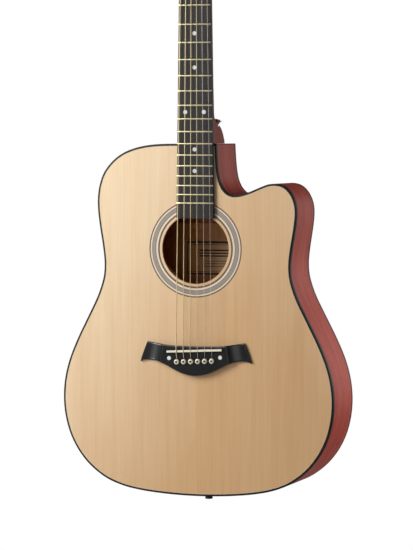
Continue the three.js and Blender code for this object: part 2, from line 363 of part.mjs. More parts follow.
// ---- strings: anchored beside the pins, over the saddle and nut, and wound on the posts ----
const COIL_W = -6.6; // where on its post the string is wound, above the headstock's face
const toWorld = (u, w, v) => new THREE.Vector3(u, w, v).applyMatrix4(head.matrix).toArray();
for (let i = 0; i < 6; i++) {
  const d = STRING_D[i], r = d / 2, [px, pz] = PINS[i], post = POSTS.find((p) => p.string === i), s = Math.sign(post.u);
  const zS = sadZ(sadX(i)), sy = sadTop - r - 0.08, zp = pz + PIN_HEAD_R + 0.25 + r;
  const coilR = POST_R + FIT + r + 0.05, tu = post.u - s * coilR;
  const path = [[px, 7.5, zp], [px, PIN_Y + 0.2, zp], [sadX(i), sy, zS - 1.2], [sadX(i), sy, zS + 1.2], [nutX(i), NUT_Y, NUT_Z + 0.6], [nutX(i), NUT_Y + 0.3, NUT_Z + 4.8], toWorld(tu, COIL_W, post.v)];
  const w = 1.6 * d;
  const coil = place(turned([[POST_R + FIT, 0], [POST_R + FIT + d, 0], [POST_R + FIT + d, 2 * w], [POST_R + FIT, 2 * w], [POST_R + FIT, 0]], 12, [post.u, COIL_W - w, post.v], [0, 1, 0]), e);
  add(neckGroup, "string_" + PIN_NAMES[i], wire(path, r, 6).add(coil), i < 4 ? BRONZE : STEEL);
}

// ---- tuning machines: three on each plate, a worm on the button's shaft turning a wheel on the string post ----
const PITCH_R = (GEAR_TEETH * MODULE) / 2, WORM_PR = 2.05, CENTRE = PITCH_R + 0.5 + WORM_PR + 0.55 + FIT; // the wheel's tips run just clear of the thread's
const PLATE_Y0 = HEAD_T + GAP, PLATE_Y1 = PLATE_Y0 + 1.2, GEAR_Y0 = PLATE_Y1 + 1.9, GEAR_T = 2.4, WORM_Y = GEAR_Y0 + GEAR_T / 2;
const LEAD = Math.atan(WORM_PITCH / (2 * Math.PI * WORM_PR));
// A wheel with its axis along +Y at the origin; its teeth lean to match the worm's lead.
function wheel(lean) {
  const ro = PITCH_R + 0.5, ri = PITCH_R - 0.85, pts = [];
  for (let k = 0; k < GEAR_TEETH; k++) for (const [r, a] of [[ri, -0.155], [ro, -0.06], [ro, 0.06], [ri, 0.155]]) { const t = (2 * Math.PI * k) / GEAR_TEETH + a; pts.push([r, t]); }
  const tw = (GEAR_T / 2) * Math.tan(LEAD) / PITCH_R * lean;
  return loft([[0, -tw], [GEAR_T, tw]].map(([y, q]) => pts.map(([r, t]) => [r * Math.cos(t + q), GEAR_Y0 + y, r * Math.sin(t + q)])));
}
// A worm with its axis along +X at the origin, thread centred on x = x0 at angle 0 (towards +Z), advancing +X as the angle goes from +Z to +Y.
function worm(x0, len, hand) {
  const steps = 6, turns = 2.5, secs = [], rIn = 1.2, rOut = WORM_PR + 0.55;
  for (let k = 0; k <= steps * turns; k++) {
    const q = k / steps - turns / 2, th = hand * q * 2 * Math.PI, xc = x0 + q * WORM_PITCH;
    secs.push([[rIn, -0.5], [rOut, -0.26], [rOut, 0.26], [rIn, 0.5]].map(([r, dx]) => [xc + dx, r * Math.sin(th), r * Math.cos(th)]));
  }
  return rod(1.45, [x0 - len / 2, 0, 0], [x0 + len / 2, 0, 0], 6).add(loft(secs));
}
for (const s of [-1, 1]) {
  // The plate is a strip with two ears for each worm shaft.
  const u = s * POST_U, x0 = u - 7.2, x1 = u + 7.2;
  let pl = box(x0, x1, PLATE_Y0, PLATE_Y1, POST_V[0] - 15, POST_V[2] + 9);
  for (const v of POST_V) {
    const wz = v - CENTRE;
    for (const ex of [u - 5.6, u + 5.6]) pl = pl.add(box(ex - 0.6, ex + 0.6, PLATE_Y1 - 0.2, WORM_Y + 2.2, wz - 2.6, wz + 2.6));
  }
  for (const v of POST_V) {
    const wz = v - CENTRE;
    pl = pl.subtract(rod(1.45 + FIT, [x0 - 2, WORM_Y, wz], [x1 + 2, WORM_Y, wz], 8)).subtract(rod(POST_R + FIT, [u, PLATE_Y0 - 2, v], [u, PLATE_Y1 + 1, v], 10));
  }
  add(head, s < 0 ? "tuner_plate_bass" : "tuner_plate_treble", pl, NICKEL);
}
for (const p of POSTS) {
  const s = Math.sign(p.u), g = new THREE.Group();
  g.position.set(p.u, 0, p.v);
  head.add(g);
  const post = turned([[0, GEAR_Y0 + GEAR_T + 0.6], [1.6, GEAR_Y0 + GEAR_T + 0.6], [1.6, GEAR_Y0 + 0.2], [POST_R, GEAR_Y0 + 0.2], [POST_R, COIL_W - 4.2], [POST_R - 0.5, COIL_W - 4.9], [0, COIL_W - 4.9]].reverse(), 10);
  add(g, "string_post_" + p.name, post.add(wheel(1)), NICKEL);
  const w = new THREE.Group();
  w.position.set(0, WORM_Y, -CENTRE);
  g.add(w);
  // Worm between the ears, then the shaft out past the headstock's edge to the button.
  const reach = 41.5 - Math.abs(p.u);
  let b = worm(0, 14.4, 1).add(rod(1.45, [0, 0, 0], [s * (reach + 6), 0, 0], 6));
  const button = turned([[0, 0], [2.8, 0], [2.4, 2.2], [6.4, 6.8], [7.3, 10.5], [6.2, 14.2], [3.4, 16.5], [0, 17]], 10);
  const bm = new THREE.Matrix4().makeTranslation(s * reach, 0, 0).multiply(new THREE.Matrix4().makeRotationZ((-s * Math.PI) / 2)).multiply(new THREE.Matrix4().makeScale(0.55, 1, 1));
  b = b.add(place(button, bm.elements));
  add(w, "tuner_button_" + p.name, b, NICKEL);
}

root.position.set(-HANGER[0], -HANGER[1], -HANGER[2]);
export default root;
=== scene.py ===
# The visual model of the acoustic guitar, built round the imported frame.
# Lengths below are in millimetres in the luthier's frame (z = 0 at the neck joint, y = 0 on the soundboard); P() moves them to the row frame in metres.
import math

import bmesh
import bpy
from mathutils import Matrix, Vector
from mathutils.geometry import tessellate_polygon

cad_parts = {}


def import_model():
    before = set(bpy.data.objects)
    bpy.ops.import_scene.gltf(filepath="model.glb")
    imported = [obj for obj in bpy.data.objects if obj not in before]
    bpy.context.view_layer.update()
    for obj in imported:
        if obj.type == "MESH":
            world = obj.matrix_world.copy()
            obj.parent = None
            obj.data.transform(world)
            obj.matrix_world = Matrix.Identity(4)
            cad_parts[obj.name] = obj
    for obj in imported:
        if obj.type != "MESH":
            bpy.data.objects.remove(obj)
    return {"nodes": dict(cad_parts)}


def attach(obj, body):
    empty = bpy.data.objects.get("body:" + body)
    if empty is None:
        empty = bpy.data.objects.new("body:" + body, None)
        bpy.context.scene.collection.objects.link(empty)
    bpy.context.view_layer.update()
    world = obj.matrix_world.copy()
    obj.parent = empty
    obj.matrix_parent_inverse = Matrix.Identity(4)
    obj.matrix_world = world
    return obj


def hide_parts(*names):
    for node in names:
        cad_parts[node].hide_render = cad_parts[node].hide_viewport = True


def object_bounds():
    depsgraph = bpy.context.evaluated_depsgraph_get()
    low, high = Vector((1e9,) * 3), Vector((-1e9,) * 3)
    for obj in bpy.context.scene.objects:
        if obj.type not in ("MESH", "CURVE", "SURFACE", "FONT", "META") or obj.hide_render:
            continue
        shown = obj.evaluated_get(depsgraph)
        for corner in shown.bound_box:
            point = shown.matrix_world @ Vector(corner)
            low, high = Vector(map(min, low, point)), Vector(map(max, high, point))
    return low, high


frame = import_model()
NODES = frame["nodes"]
cad_lo, cad_hi = [list(v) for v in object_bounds()]

HX, HY, HZ = 0.0, 8.0, 372.0


def P(x, y, z):
    return ((x - HX) / 1000, (y - HY) / 1000, (z - HZ) / 1000)


# ---------------------------------------------------------------- camera
def camera():
    yaw, pitch, roll = 0.323197, 0.049161, -0.001513
    target, dist, f = Vector((15.5, 0, -187.739)), 4007.57, 2800.0
    back = Vector((math.sin(yaw) * math.cos(pitch), -math.cos(yaw) * math.cos(pitch), math.sin(pitch)))
    right = Vector((math.cos(yaw), math.sin(yaw), 0))
    up = right.cross(-back)
    r = right * math.cos(roll) + up * math.sin(roll)
    u = -right * math.sin(roll) + up * math.cos(roll)
    data = bpy.data.cameras.new("camera")
    data.sensor_width, data.lens = 36.0, f / 550 * 36
    data.clip_start, data.clip_end = 0.1, 60
    cam = bpy.data.objects.new("camera", data)
    bpy.context.scene.collection.objects.link(cam)
    m = Matrix((r, u, back)).transposed().to_4x4()
    m.translation = Vector(P(*(target + back * dist)))
    cam.matrix_world = m
    bpy.context.scene.camera = cam


camera()

# ---------------------------------------------------------------- mesh helpers
COL = bpy.context.scene.collection


def obj(name, verts, faces, mats, body, replaces=(), slot=None, smooth=35, mm=True, face_mats=None):
    me = bpy.data.meshes.new(name)
    me.from_pydata([P(*v) for v in verts] if mm else [tuple(v) for v in verts], [], faces)
    bm = bmesh.new()
    bm.from_mesh(me)
    if face_mats:
        for f, k in zip(bm.faces, face_mats):
            f.material_index = k
    bmesh.ops.remove_doubles(bm, verts=bm.verts, dist=1e-7)
    bmesh.ops.recalc_face_normals(bm, faces=bm.faces)
    bm.to_mesh(me)
    bm.free()
    for m in mats if isinstance(mats, (list, tuple)) else [mats]:
        me.materials.append(m)
    if smooth:
        me.shade_smooth()
        me.set_sharp_from_angle(angle=math.radians(smooth))
    o = bpy.data.objects.new(name, me)
    COL.objects.link(o)
    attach(o, body)
    if replaces:
        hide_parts(*replaces)
    return o


class Build:
    """Gathers several closed shells into one mesh."""

    def __init__(self):
        self.v, self.f, self.m = [], [], []

    def add(self, verts, faces, mat=0):
        n = len(self.v)
        self.v += [tuple(p) for p in verts]
        self.f += [tuple(i + n for i in f) for f in faces]
        self.m += [mat] * len(faces)
        return self

    def make(self, name, mats, body, **kw):
        return obj(name, self.v, self.f, mats, body, face_mats=self.m, **kw)


def loops(secs, caps=True, close=False):
    """A skin over sections of equal point counts."""
    n, v, f = len(secs[0]), [], []
    for s in secs:
        v += s
    k = len(secs)
    for i in range(k if close else k - 1):
        a, b = i * n, ((i + 1) % k) * n
        for j in range(n):
            j2 = (j + 1) % n
            f.append((a + j, a + j2, b + j2, b + j))
    if caps and not close:
        for i in (0, k - 1):
            tri = tessellate_polygon([[Vector(p) for p in secs[i]]])
            f += [tuple(i * n + q for q in t) for t in tri]
    return v, f


def area(p):
    return sum(p[i][0] * p[(i + 1) % len(p)][1] - p[(i + 1) % len(p)][0] * p[i][1] for i in range(len(p))) / 2


def inset(pts, d):
    n, s, out = len(pts), (1 if area(pts) > 0 else -1), []
    for i, p in enumerate(pts):
        a, b = pts[i - 1], pts[(i + 1) % n]
        e1, e2 = (p[0] - a[0], p[1] - a[1]), (b[0] - p[0], b[1] - p[1])
        l1, l2 = math.hypot(*e1) or 1e-9, math.hypot(*e2) or 1e-9
        n1, n2 = (-e1[1] / l1 * s, e1[0] / l1 * s), (-e2[1] / l2 * s, e2[0] / l2 * s)
        k = d / max(0.3, 1 + n1[0] * n2[0] + n1[1] * n2[1])
        out.append((p[0] + (n1[0] + n2[0]) * k, p[1] + (n1[1] + n2[1]) * k))
    return out


def spline(pts, step):
    """Centripetal Catmull-Rom through open points, sampled about every step."""
    q = [(2 * pts[0][0] - pts[1][0], 2 * pts[0][1] - pts[1][1])] + list(pts) + [(2 * pts[-1][0] - pts[-2][0], 2 * pts[-1][1] - pts[-2][1])]
    out = []
    for i in range(1, len(q) - 2):
        p0, p1, p2, p3 = q[i - 1], q[i], q[i + 1], q[i + 2]
        t = [0.0]
        for a, b in ((p0, p1), (p1, p2), (p2, p3)):
            t.append(t[-1] + max(1e-6, math.hypot(b[0] - a[0], b[1] - a[1])) ** 0.5)
        k = max(1, round(math.hypot(p2[0] - p1[0], p2[1] - p1[1]) / step))
        for j in range(k):
            x = t[1] + (t[2] - t[1]) * j / k
            r = []
            for c in (0, 1):
                a1 = (t[1] - x) / (t[1] - t[0]) * p0[c] + (x - t[0]) / (t[1] - t[0]) * p1[c]
                a2 = (t[2] - x) / (t[2] - t[1]) * p1[c] + (x - t[1]) / (t[2] - t[1]) * p2[c]
                a3 = (t[3] - x) / (t[3] - t[2]) * p2[c] + (x - t[2]) / (t[3] - t[2]) * p3[c]
                b1 = (t[2] - x) / (t[2] - t[0]) * a1 + (x - t[0]) / (t[2] - t[0]) * a2
                b2 = (t[3] - x) / (t[3] - t[1]) * a2 + (x - t[1]) / (t[3] - t[1]) * a3
                r.append((t[2] - x) / (t[2] - t[1]) * b1 + (x - t[1]) / (t[2] - t[1]) * b2)
            out.append(tuple(r))
    return out


def circle(cx, cz, r, n, ph=0.0):
    return [(cx + r * math.cos(2 * math.pi * i / n + ph), cz + r * math.sin(2 * math.pi * i / n + ph)) for i in range(n)]


def flat(pts, y):
    return [(x, y, z) for x, z in pts]


def lathe(profile, n, pos=(0, 0, 0), d=(0, 1, 0), squash=None):
    """profile of (radius, height) about an axis along d."""
    q = Vector((0, 1, 0)).rotation_difference(Vector(d).normalized())
    secs = []
    for r, h in profile:
        s = []
        for i in range(n):
            a = 2 * math.pi * i / n
            p = Vector((max(r, 1e-4) * math.cos(a), h, max(r, 1e-4) * math.sin(a)))
            if squash:
                p.x *= squash[0]
                p.z *= squash[1]
            s.append(tuple(q @ p + Vector(pos)))
        secs.append(s)
    return loops(secs)


def tube(points, r, n=10, taper=None):
    pts = [Vector(p) for p in points]
    secs, side = [], None
    for i, p in enumerate(pts):
        a = (p - pts[i - 1]).normalized() if i else None
        b = (pts[i + 1] - p).normalized() if i + 1 < len(pts) else None
        t = ((a + b) if a and b else (a or b)).normalized()
        if side is None:
            side = Vector((1, 0, 0)) if abs(t.x) < 0.9 else Vector((0, 1, 0))
        side = (side - t * side.dot(t)).normalized()
        up = t.cross(side)
        rr = r[i] if isinstance(r, list) else r
        secs.append([tuple(p + side * math.cos(2 * math.pi * k / n) * rr + up * math.sin(2 * math.pi * k / n) * rr) for k in range(n)])
    return loops(secs)


def box(x0, x1, y0, y1, z0, z1):
    v = [(x, y, z) for x in (x0, x1) for y in (y0, y1) for z in (z0, z1)]
    return v, [(0, 1, 3, 2), (4, 6, 7, 5), (0, 4, 5, 1), (2, 3, 7, 6), (0, 2, 6, 4), (1, 5, 7, 3)]


def bevel(o, width, segments=2, angle=35):
    m = o.modifiers.new("edge", "BEVEL")
    m.width, m.segments, m.limit_method, m.angle_limit = width / 1000, segments, "ANGLE", math.radians(angle)
    m.harden_normals = False
    return o


# ---------------------------------------------------------------- materials
def material(name, base, rough=0.5, metal=0.0, **sockets):
    m = bpy.data.materials.new(name)
    m.use_nodes = True
    b = m.node_tree.nodes["Principled BSDF"]
    b.inputs["Base Color"].default_value = (*base, 1)
    b.inputs["Roughness"].default_value = rough
    b.inputs["Metallic"].default_value = metal
    for k, v in sockets.items():
        b.inputs[k.replace("_", " ")].default_value = v
    m.diffuse_color = (*base, 1)
    return m


class N:
    """Short hand for a material's nodes."""

    def __init__(self, m):
        self.t = m.node_tree
        self.b = self.t.nodes["Principled BSDF"]
        self.tc = self.t.nodes.new("ShaderNodeTexCoord").outputs["Object"]

    def link(self, a, b):
        self.t.links.new(a, b)

    def mapping(self, scale, rot=(0, 0, 0), src=None, loc=(0, 0, 0)):
        n = self.t.nodes.new("ShaderNodeMapping")
        n.inputs["Scale"].default_value = scale
        n.inputs["Rotation"].default_value = rot
        n.inputs["Location"].default_value = loc
        self.link(src or self.tc, n.inputs["Vector"])
        return n.outputs[0]

    def noise(self, vec, scale=1.0, detail=3.0, rough=0.55, dist=0.0):
        n = self.t.nodes.new("ShaderNodeTexNoise")
        n.inputs["Scale"].default_value = scale
        n.inputs["Detail"].default_value = detail
        n.inputs["Roughness"].default_value = rough
        n.inputs["Distortion"].default_value = dist
        self.link(vec, n.inputs["Vector"])
        return n.outputs["Fac"]

    def wave(self, vec, scale, dist=0.0, detail=2.0, dscale=1.0, kind="X"):
        n = self.t.nodes.new("ShaderNodeTexWave")
        n.wave_type, n.bands_direction = "BANDS", kind
        n.inputs["Scale"].default_value = scale
        n.inputs["Distortion"].default_value = dist
        n.inputs["Detail"].default_value = detail
        n.inputs["Detail Scale"].default_value = dscale
        self.link(vec, n.inputs["Vector"])
        return n.outputs["Fac"]

    def voronoi(self, vec, scale, feature="F1", out="Distance"):
        n = self.t.nodes.new("ShaderNodeTexVoronoi")
        n.feature = feature
        n.inputs["Scale"].default_value = scale
        self.link(vec, n.inputs["Vector"])
        return n.outputs[out]

    def ramp(self, fac, stops, interp="LINEAR"):
        n = self.t.nodes.new("ShaderNodeValToRGB")
        n.color_ramp.interpolation = interp
        el = n.color_ramp.elements
        while len(el) < len(stops):
            el.new(0.5)
        for e, (p, c) in zip(el, stops):
            e.position = p
            e.color = (*c, 1) if isinstance(c, (tuple, list)) else (c, c, c, 1)
        self.link(fac, n.inputs["Fac"])
        return n.outputs["Color"]

    def math(self, op, a, b=None, clamp=False):
        n = self.t.nodes.new("ShaderNodeMath")
        n.operation, n.use_clamp = op, clamp
        for i, x in enumerate((a, b)):
            if x is None:
                continue
            if isinstance(x, (int, float)):
                n.inputs[i].default_value = x
            else:
                self.link(x, n.inputs[i])
        return n.outputs[0]

    def mix(self, fac, a, b, mode="MIX"):
        n = self.t.nodes.new("ShaderNodeMix")
        n.data_type, n.blend_type = "RGBA", mode
        for k, x in ((0, fac), (6, a), (7, b)):
            if isinstance(x, (int, float)):
                n.inputs[k].default_value = x
            elif isinstance(x, (tuple, list)):
                n.inputs[k].default_value = (*x, 1)
            else:
                self.link(x, n.inputs[k])
        return n.outputs[2]

    def sep(self, vec=None):
        n = self.t.nodes.new("ShaderNodeSeparateXYZ")
        self.link(vec or self.tc, n.inputs[0])
        return n.outputs

    def comb(self, x, y, z):
        n = self.t.nodes.new("ShaderNodeCombineXYZ")
        for i, v in enumerate((x, y, z)):
            if isinstance(v, (int, float)):
                n.inputs[i].default_value = v
            else:
                self.link(v, n.inputs[i])
        return n.outputs[0]

    def bump(self, height, strength, dist_mm, normal=None):
        n = self.t.nodes.new("ShaderNodeBump")
        n.inputs["Strength"].default_value = strength
        n.inputs["Distance"].default_value = dist_mm / 1000
        self.link(height, n.inputs["Height"])
        if normal:
            self.link(normal, n.inputs["Normal"])
        self.link(n.outputs[0], self.b.inputs["Normal"])
        return n.outputs[0]

    def color(self, c):
        self.link(c, self.b.inputs["Base Color"])

    def rough(self, c):
        self.link(c, self.b.inputs["Roughness"])


def spruce():
    m = material("spruce_satin", (0.72, 0.5, 0.28), 0.42, Coat_Weight=0.35, Coat_Roughness=0.28)
    n = N(m)
    x, y, z = n.sep()
    ax = n.math("ABSOLUTE", n.math("SUBTRACT", x, 0.0006))
    # The two halves are mirrored about the centre join, each with its own slow drift.
    half = n.math("MULTIPLY", n.math("GREATER_THAN", x, 0.0006), 0.37)
    v = n.comb(ax, half, z)
    warp = n.noise(n.mapping((5, 3, 1.1), src=v), 1, 2, 0.5)
    wx = n.math("ADD", ax, n.math("MULTIPLY", n.math("SUBTRACT", warp, 0.5), 0.02))
    w = n.comb(wx, half, z)
    broad = n.noise(n.mapping((20, 2, 2.6), src=w), 1, 3, 0.55)
    mid = n.noise(n.mapping((120, 2, 4.5), src=w), 1, 4, 0.6)
    lines = n.wave(n.mapping((1, 0, 0.0), src=w), 150, 1.6, 2, 1.0)
    fine = n.noise(n.mapping((900, 20, 14), src=w), 1, 2, 0.6)
    silk = n.noise(n.mapping((60, 4, 150), src=w), 1, 2, 0.5, 0.4)
    base = n.ramp(broad, [(0.25, (0.93, 0.73, 0.485)), (0.5, (0.90, 0.685, 0.44)), (0.78, (0.84, 0.615, 0.375))])
    c = n.mix(n.math("MULTIPLY", n.ramp(mid, [(0.42, 0.0), (0.72, 1.0)]), 0.24), base, (0.66, 0.42, 0.21))
    c = n.mix(n.math("MULTIPLY", n.ramp(lines, [(0.55, 0.0), (0.95, 1.0)]), 0.16), c, (0.58, 0.35, 0.17))
    c = n.mix(n.math("MULTIPLY", n.ramp(fine, [(0.4, 0.0), (0.75, 1.0)]), 0.10), c, (0.60, 0.38, 0.20))
    c = n.mix(n.math("MULTIPLY", n.ramp(silk, [(0.58, 0.0), (0.75, 1.0)]), 0.10), c, (0.90, 0.72, 0.48))
    # Painted shade: the tone darkens from pale on the upper bass side to tan towards the tail's treble side, standing
    # in for the key light falling off across the top; a slow noise adds some random unevenness of tone.
    falloff_across = n.ramp(n.math("DIVIDE", n.math("ADD", x, 0.2), 0.4), [(0.0, 0.0), (0.5, 0.72), (0.7, 0.95), (1.0, 0.72)])
    falloff_across = n.math("SUBTRACT", n.math("MULTIPLY", falloff_across, 1.2), 0.72)
    falloff_shade = n.math("ADD", falloff_across, n.math("MULTIPLY", n.math("ADD", z, 0.62), -2.2))
    falloff_shade = n.math("ADD", falloff_shade, n.math("MULTIPLY", n.math("SUBTRACT", n.noise(n.mapping((7, 2, 3.2), src=w), 1, 3, 0.55), 0.5), 0.9))
    falloff_shade = n.math("ADD", falloff_shade, 0.56, clamp=True)
    c = n.mix(1.0, c, n.ramp(falloff_shade, [(0.0, (1.0, 1.0, 1.0)), (1.0, (0.83, 0.68, 0.53))]), "MULTIPLY")
    seam = n.math("LESS_THAN", ax, 0.00022)
    c = n.mix(n.math("MULTIPLY", seam, 0.25), c, (0.45, 0.27, 0.13))
    n.color(c)
    n.rough(n.math("ADD", n.math("MULTIPLY", mid, 0.10), 0.36))
    n.bump(n.math("ADD", n.math("MULTIPLY", lines, 0.5), fine), 0.10, 0.05)
    return m


def mahogany(name, axis, dark=1.0, shift=0.0):
    """Red-stained open-pored wood. axis is the grain's direction, or 'round' for a bent side."""
    m = material(name, (0.3, 0.04, 0.025), 0.5, Coat_Weight=0.05, Coat_Roughness=0.35, Specular_IOR_Level=0.22)
    n = N(m)
    if axis == "z":
        g = n.mapping((1, 1, 0.045), loc=(shift, 0, 0))
        pore = n.mapping((1500, 1500, 36), loc=(shift, 0, 0))
        fig = n.mapping((9, 9, 1.3), loc=(shift, 0, 0))
    else:
        x, y, z = n.sep()
        g = n.mapping((0.045, 1, 0.045), loc=(shift, 0, 0))
        pore = n.mapping((60, 1500, 60), loc=(shift, 0, 0))
        fig = n.mapping((2.0, 12, 2.0), loc=(shift, 0, 0))
    streak = n.noise(g, 190, 4, 0.62, 0.3)
    broad = n.noise(fig, 1.6, 3, 0.55, 0.5)
    pores = n.noise(pore, 1, 2, 0.5)
    k = dark
    base = n.ramp(streak, [(0.3, (0.47 * k, 0.080 * k, 0.050 * k)), (0.52, (0.37 * k, 0.050 * k, 0.034 * k)), (0.72, (0.23 * k, 0.026 * k, 0.019 * k))])
    base = n.mix(n.math("MULTIPLY", n.ramp(broad, [(0.38, 0.0), (0.7, 1.0)]), 0.5), base, (0.52 * k, 0.105 * k, 0.068 * k))
    c = n.mix(n.math("MULTIPLY", n.ramp(pores, [(0.6, 0.0), (0.68, 1.0)]), 0.55), base, (0.035, 0.008, 0.008))
    n.color(c)
    n.rough(n.math("ADD", n.math("MULTIPLY", streak, 0.16), 0.44))
    n.bump(n.ramp(pores, [(0.56, 1.0), (0.68, 0.0)]), 0.22, 0.06)
    return m


def dark_wood(name, base, streak, rough, coat=0.0, axis="z", relief=0.12):
    m = material(name, base, rough, Coat_Weight=coat, Coat_Roughness=0.3)
    n = N(m)
    s = {"z": (600, 600, 14), "x": (14, 600, 600)}[axis]
    a = n.noise(n.mapping(s), 1, 3, 0.6)
    b = n.noise(n.mapping(tuple(q * 0.16 for q in s)), 1, 3, 0.6)
    c = n.mix(n.ramp(a, [(0.4, 0.0), (0.7, 1.0)]), base, streak)
    c = n.mix(n.math("MULTIPLY", n.ramp(b, [(0.35, 0.0), (0.7, 1.0)]), 0.45), c, tuple(q * 0.45 for q in base))
    n.color(c)
    n.rough(n.math("ADD", n.math("MULTIPLY", a, 0.16 if relief > 0.1 else 0.03), rough - 0.08))
    n.bump(a, relief, 0.05)
    return m


def pale_wood(name, light, dark, axis="x", painted_shadow=False):
    m = material(name, light, 0.75)
    n = N(m)
    s = {"x": (10, 220, 220), "z": (220, 220, 10), "y": (220, 10, 220)}[axis]
    a = n.noise(n.mapping(s), 1, 4, 0.6)
    b = n.noise(n.mapping(tuple(q * 6 for q in s)), 1, 2, 0.5)
    c = n.mix(n.ramp(a, [(0.3, 0.0), (0.75, 1.0)]), light, dark)
    c = n.mix(n.math("MULTIPLY", n.ramp(b, [(0.5, 0.0), (0.8, 1.0)]), 0.3), c, tuple(q * 0.6 for q in dark))
    if painted_shadow:
        # Painted shadow: darker and redder towards the bass side, where the top shades the inside of the body from the
        # key light.
        t = n.math("DIVIDE", n.math("ADD", n.sep()[0], 0.075), 0.09, clamp=True)
        c = n.mix(1.0, c, n.ramp(t, [(0.0, (0.62, 0.38, 0.25)), (0.45, (0.70, 0.50, 0.32)), (0.75, (1.0, 1.0, 1.0))]), "MULTIPLY")
    n.color(c)
    n.bump(b, 0.2, 0.1)
    return m


def plastic(name, base, rough, spots=(0.9, 1.1), scale=40, **k):
    m = material(name, base, rough, **k)
    n = N(m)
    a = n.noise(n.mapping((scale,) * 3), 1, 3, 0.6)
    lo, hi = [tuple(min(1, q * s) for q in base) for s in spots]
    n.color(n.ramp(a, [(0.3, lo), (0.7, hi)]))
    n.rough(n.math("ADD", n.math("MULTIPLY", n.noise(n.mapping((900,) * 3), 1, 2), 0.12), max(0.02, rough - 0.06)))
    n.bump(n.noise(n.mapping((1600,) * 3), 1, 2), 0.06, 0.03)
    return m


def metal(name, base, rough, brush=None, spots=0.86):
    m = material(name, base, rough, 1.0)
    n = N(m)
    a = n.noise(n.mapping((120,) * 3), 1, 3, 0.6)
    n.color(n.ramp(a, [(0.3, tuple(q * spots for q in base)), (0.7, base)]))
    s = brush or (2500, 2500, 2500)
    b = n.noise(n.mapping(s), 1, 2)
    n.rough(n.math("ADD", n.math("MULTIPLY", b, 0.16), max(0.02, rough - 0.08)))
    n.bump(b, 0.05, 0.02)
    return m


def wound(name, base, pitch_mm, rough=0.44):
    """A string wound with round wire: rings along Z."""
    m = material(name, base, rough, 0.75)
    n = N(m)
    period = 0.314159 / (pitch_mm / 1000)
    w = n.wave(n.tc, period, 0, 0, 1, "Z")
    # Painted shade in the grooves between the wraps and a painted highlight on their crowns, keyed to the same wave as
    # the bump.
    n.color(n.ramp(w, [(0.0, tuple(q * 0.75 for q in base)), (0.4, base), (1.0, tuple(min(1, q * 1.1) for q in base))]))
    n.rough(n.math("ADD", n.math("MULTIPLY", n.noise(n.mapping((400,) * 3), 1, 2), 0.1), rough - 0.05))
    n.bump(w, 0.12, 0.04)
    return m


def pearl():
    m = material("pearl", (0.82, 0.82, 0.79), 0.2, Coat_Weight=0.6, Coat_Roughness=0.08)
    n = N(m)
    a = n.noise(n.mapping((260, 260, 260)), 1, 3, 0.6, 1.5)
    n.color(n.ramp(a, [(0.25, (0.62, 0.66, 0.66)), (0.45, (0.88, 0.86, 0.82)), (0.6, (0.78, 0.83, 0.85)), (0.75, (0.92, 0.88, 0.86))]))
    n.rough(n.math("ADD", n.math("MULTIPLY", a, 0.15), 0.12))
    return m


def rosette_mat():
    """Concentric inlay rings by radius, with a band of small chevrons."""
    m = material("rosette_inlay", (0.5, 0.45, 0.4), 0.42, Coat_Weight=0.3, Coat_Roughness=0.25)
    n = N(m)
    x, y, z = n.sep()
    x = n.math("SUBTRACT", x, HOLE_X / 1000)
    zz = n.math("SUBTRACT", z, (HOLE_Z - HZ) / 1000)
    r = n.math("MULTIPLY", n.math("SQRT", n.math("ADD", n.math("MULTIPLY", x, x), n.math("MULTIPLY", zz, zz))), 1000)
    ang = n.math("ARCTAN2", zz, x)
    t = n.math("DIVIDE", n.math("SUBTRACT", r, 52.0), 20.0)
    cream, line, grey = (0.84, 0.73, 0.58), (0.15, 0.075, 0.045), (0.27, 0.23, 0.19)
    stops = [(0.0, line), ((56.5 - 52) / 20, cream), ((59.4 - 52) / 20, line), ((59.9 - 52) / 20, grey), ((65.3 - 52) / 20, line), ((65.7 - 52) / 20, cream), ((67.9 - 52) / 20, line)]
    c = n.ramp(t, stops, "CONSTANT")
    # Chevrons: a saw of the angle, bent by the distance from the band's middle.
    mid = n.math("ABSOLUTE", n.math("SUBTRACT", r, 62.6))
    ph = n.math("ADD", n.math("MULTIPLY", ang, 22.2817), n.math("MULTIPLY", mid, 0.55))
    s = n.math("FRACT", ph)
    inside = n.math("MULTIPLY", n.math("GREATER_THAN", r, 60.3), n.math("LESS_THAN", r, 64.9))
    dark = n.math("MULTIPLY", n.math("GREATER_THAN", s, 0.5), inside)
    c = n.mix(n.math("MULTIPLY", dark, 0.55), c, (0.52, 0.47, 0.41))
    a = n.noise(n.mapping((300, 300, 30)), 1, 3)
    c = n.mix(n.math("MULTIPLY", a, 0.08), c, (0.35, 0.25, 0.17))
    n.color(c)
    n.rough(n.math("ADD", n.math("MULTIPLY", a, 0.1), 0.36))
    return m


HOLE_X, HOLE_Z, HOLE_R = -1.3, -150.6, 50.2
SPRUCE = spruce()
SIDE = mahogany("mahogany_side", "round", 1.0)
BACK = mahogany("mahogany_back", "z", 0.9, 3.1)
# The neck's copy is much darker: partly the neck wood's own deeper red, partly painted shade for the heel, which lies
# in the fretboard's shadow.
NECKW = mahogany("mahogany_neck", "z", 0.62, 7.7)
BIND = plastic("binding_black", (0.010, 0.009, 0.009), 0.5, Specular_IOR_Level=0.3)
PURF = plastic("purfling_cream", (0.74, 0.58, 0.37), 0.45)
BRIDGEW = dark_wood("bridge_black", (0.006, 0.0065, 0.008), (0.011, 0.0115, 0.013), 0.3, 0.4, "x", 0.05)
BOARDW = dark_wood("fretboard_dark", (0.024, 0.021, 0.022), (0.044, 0.038, 0.038), 0.52, 0.02)
BOARDW.node_tree.nodes["Principled BSDF"].inputs["Specular IOR Level"].default_value = 0.3
VENEER = dark_wood("headstock_black", (0.012, 0.011, 0.011), (0.02, 0.018, 0.017), 0.42, 0.0, "z", 0.004)
VENEER.node_tree.nodes["Principled BSDF"].inputs["Specular IOR Level"].default_value = 0.25
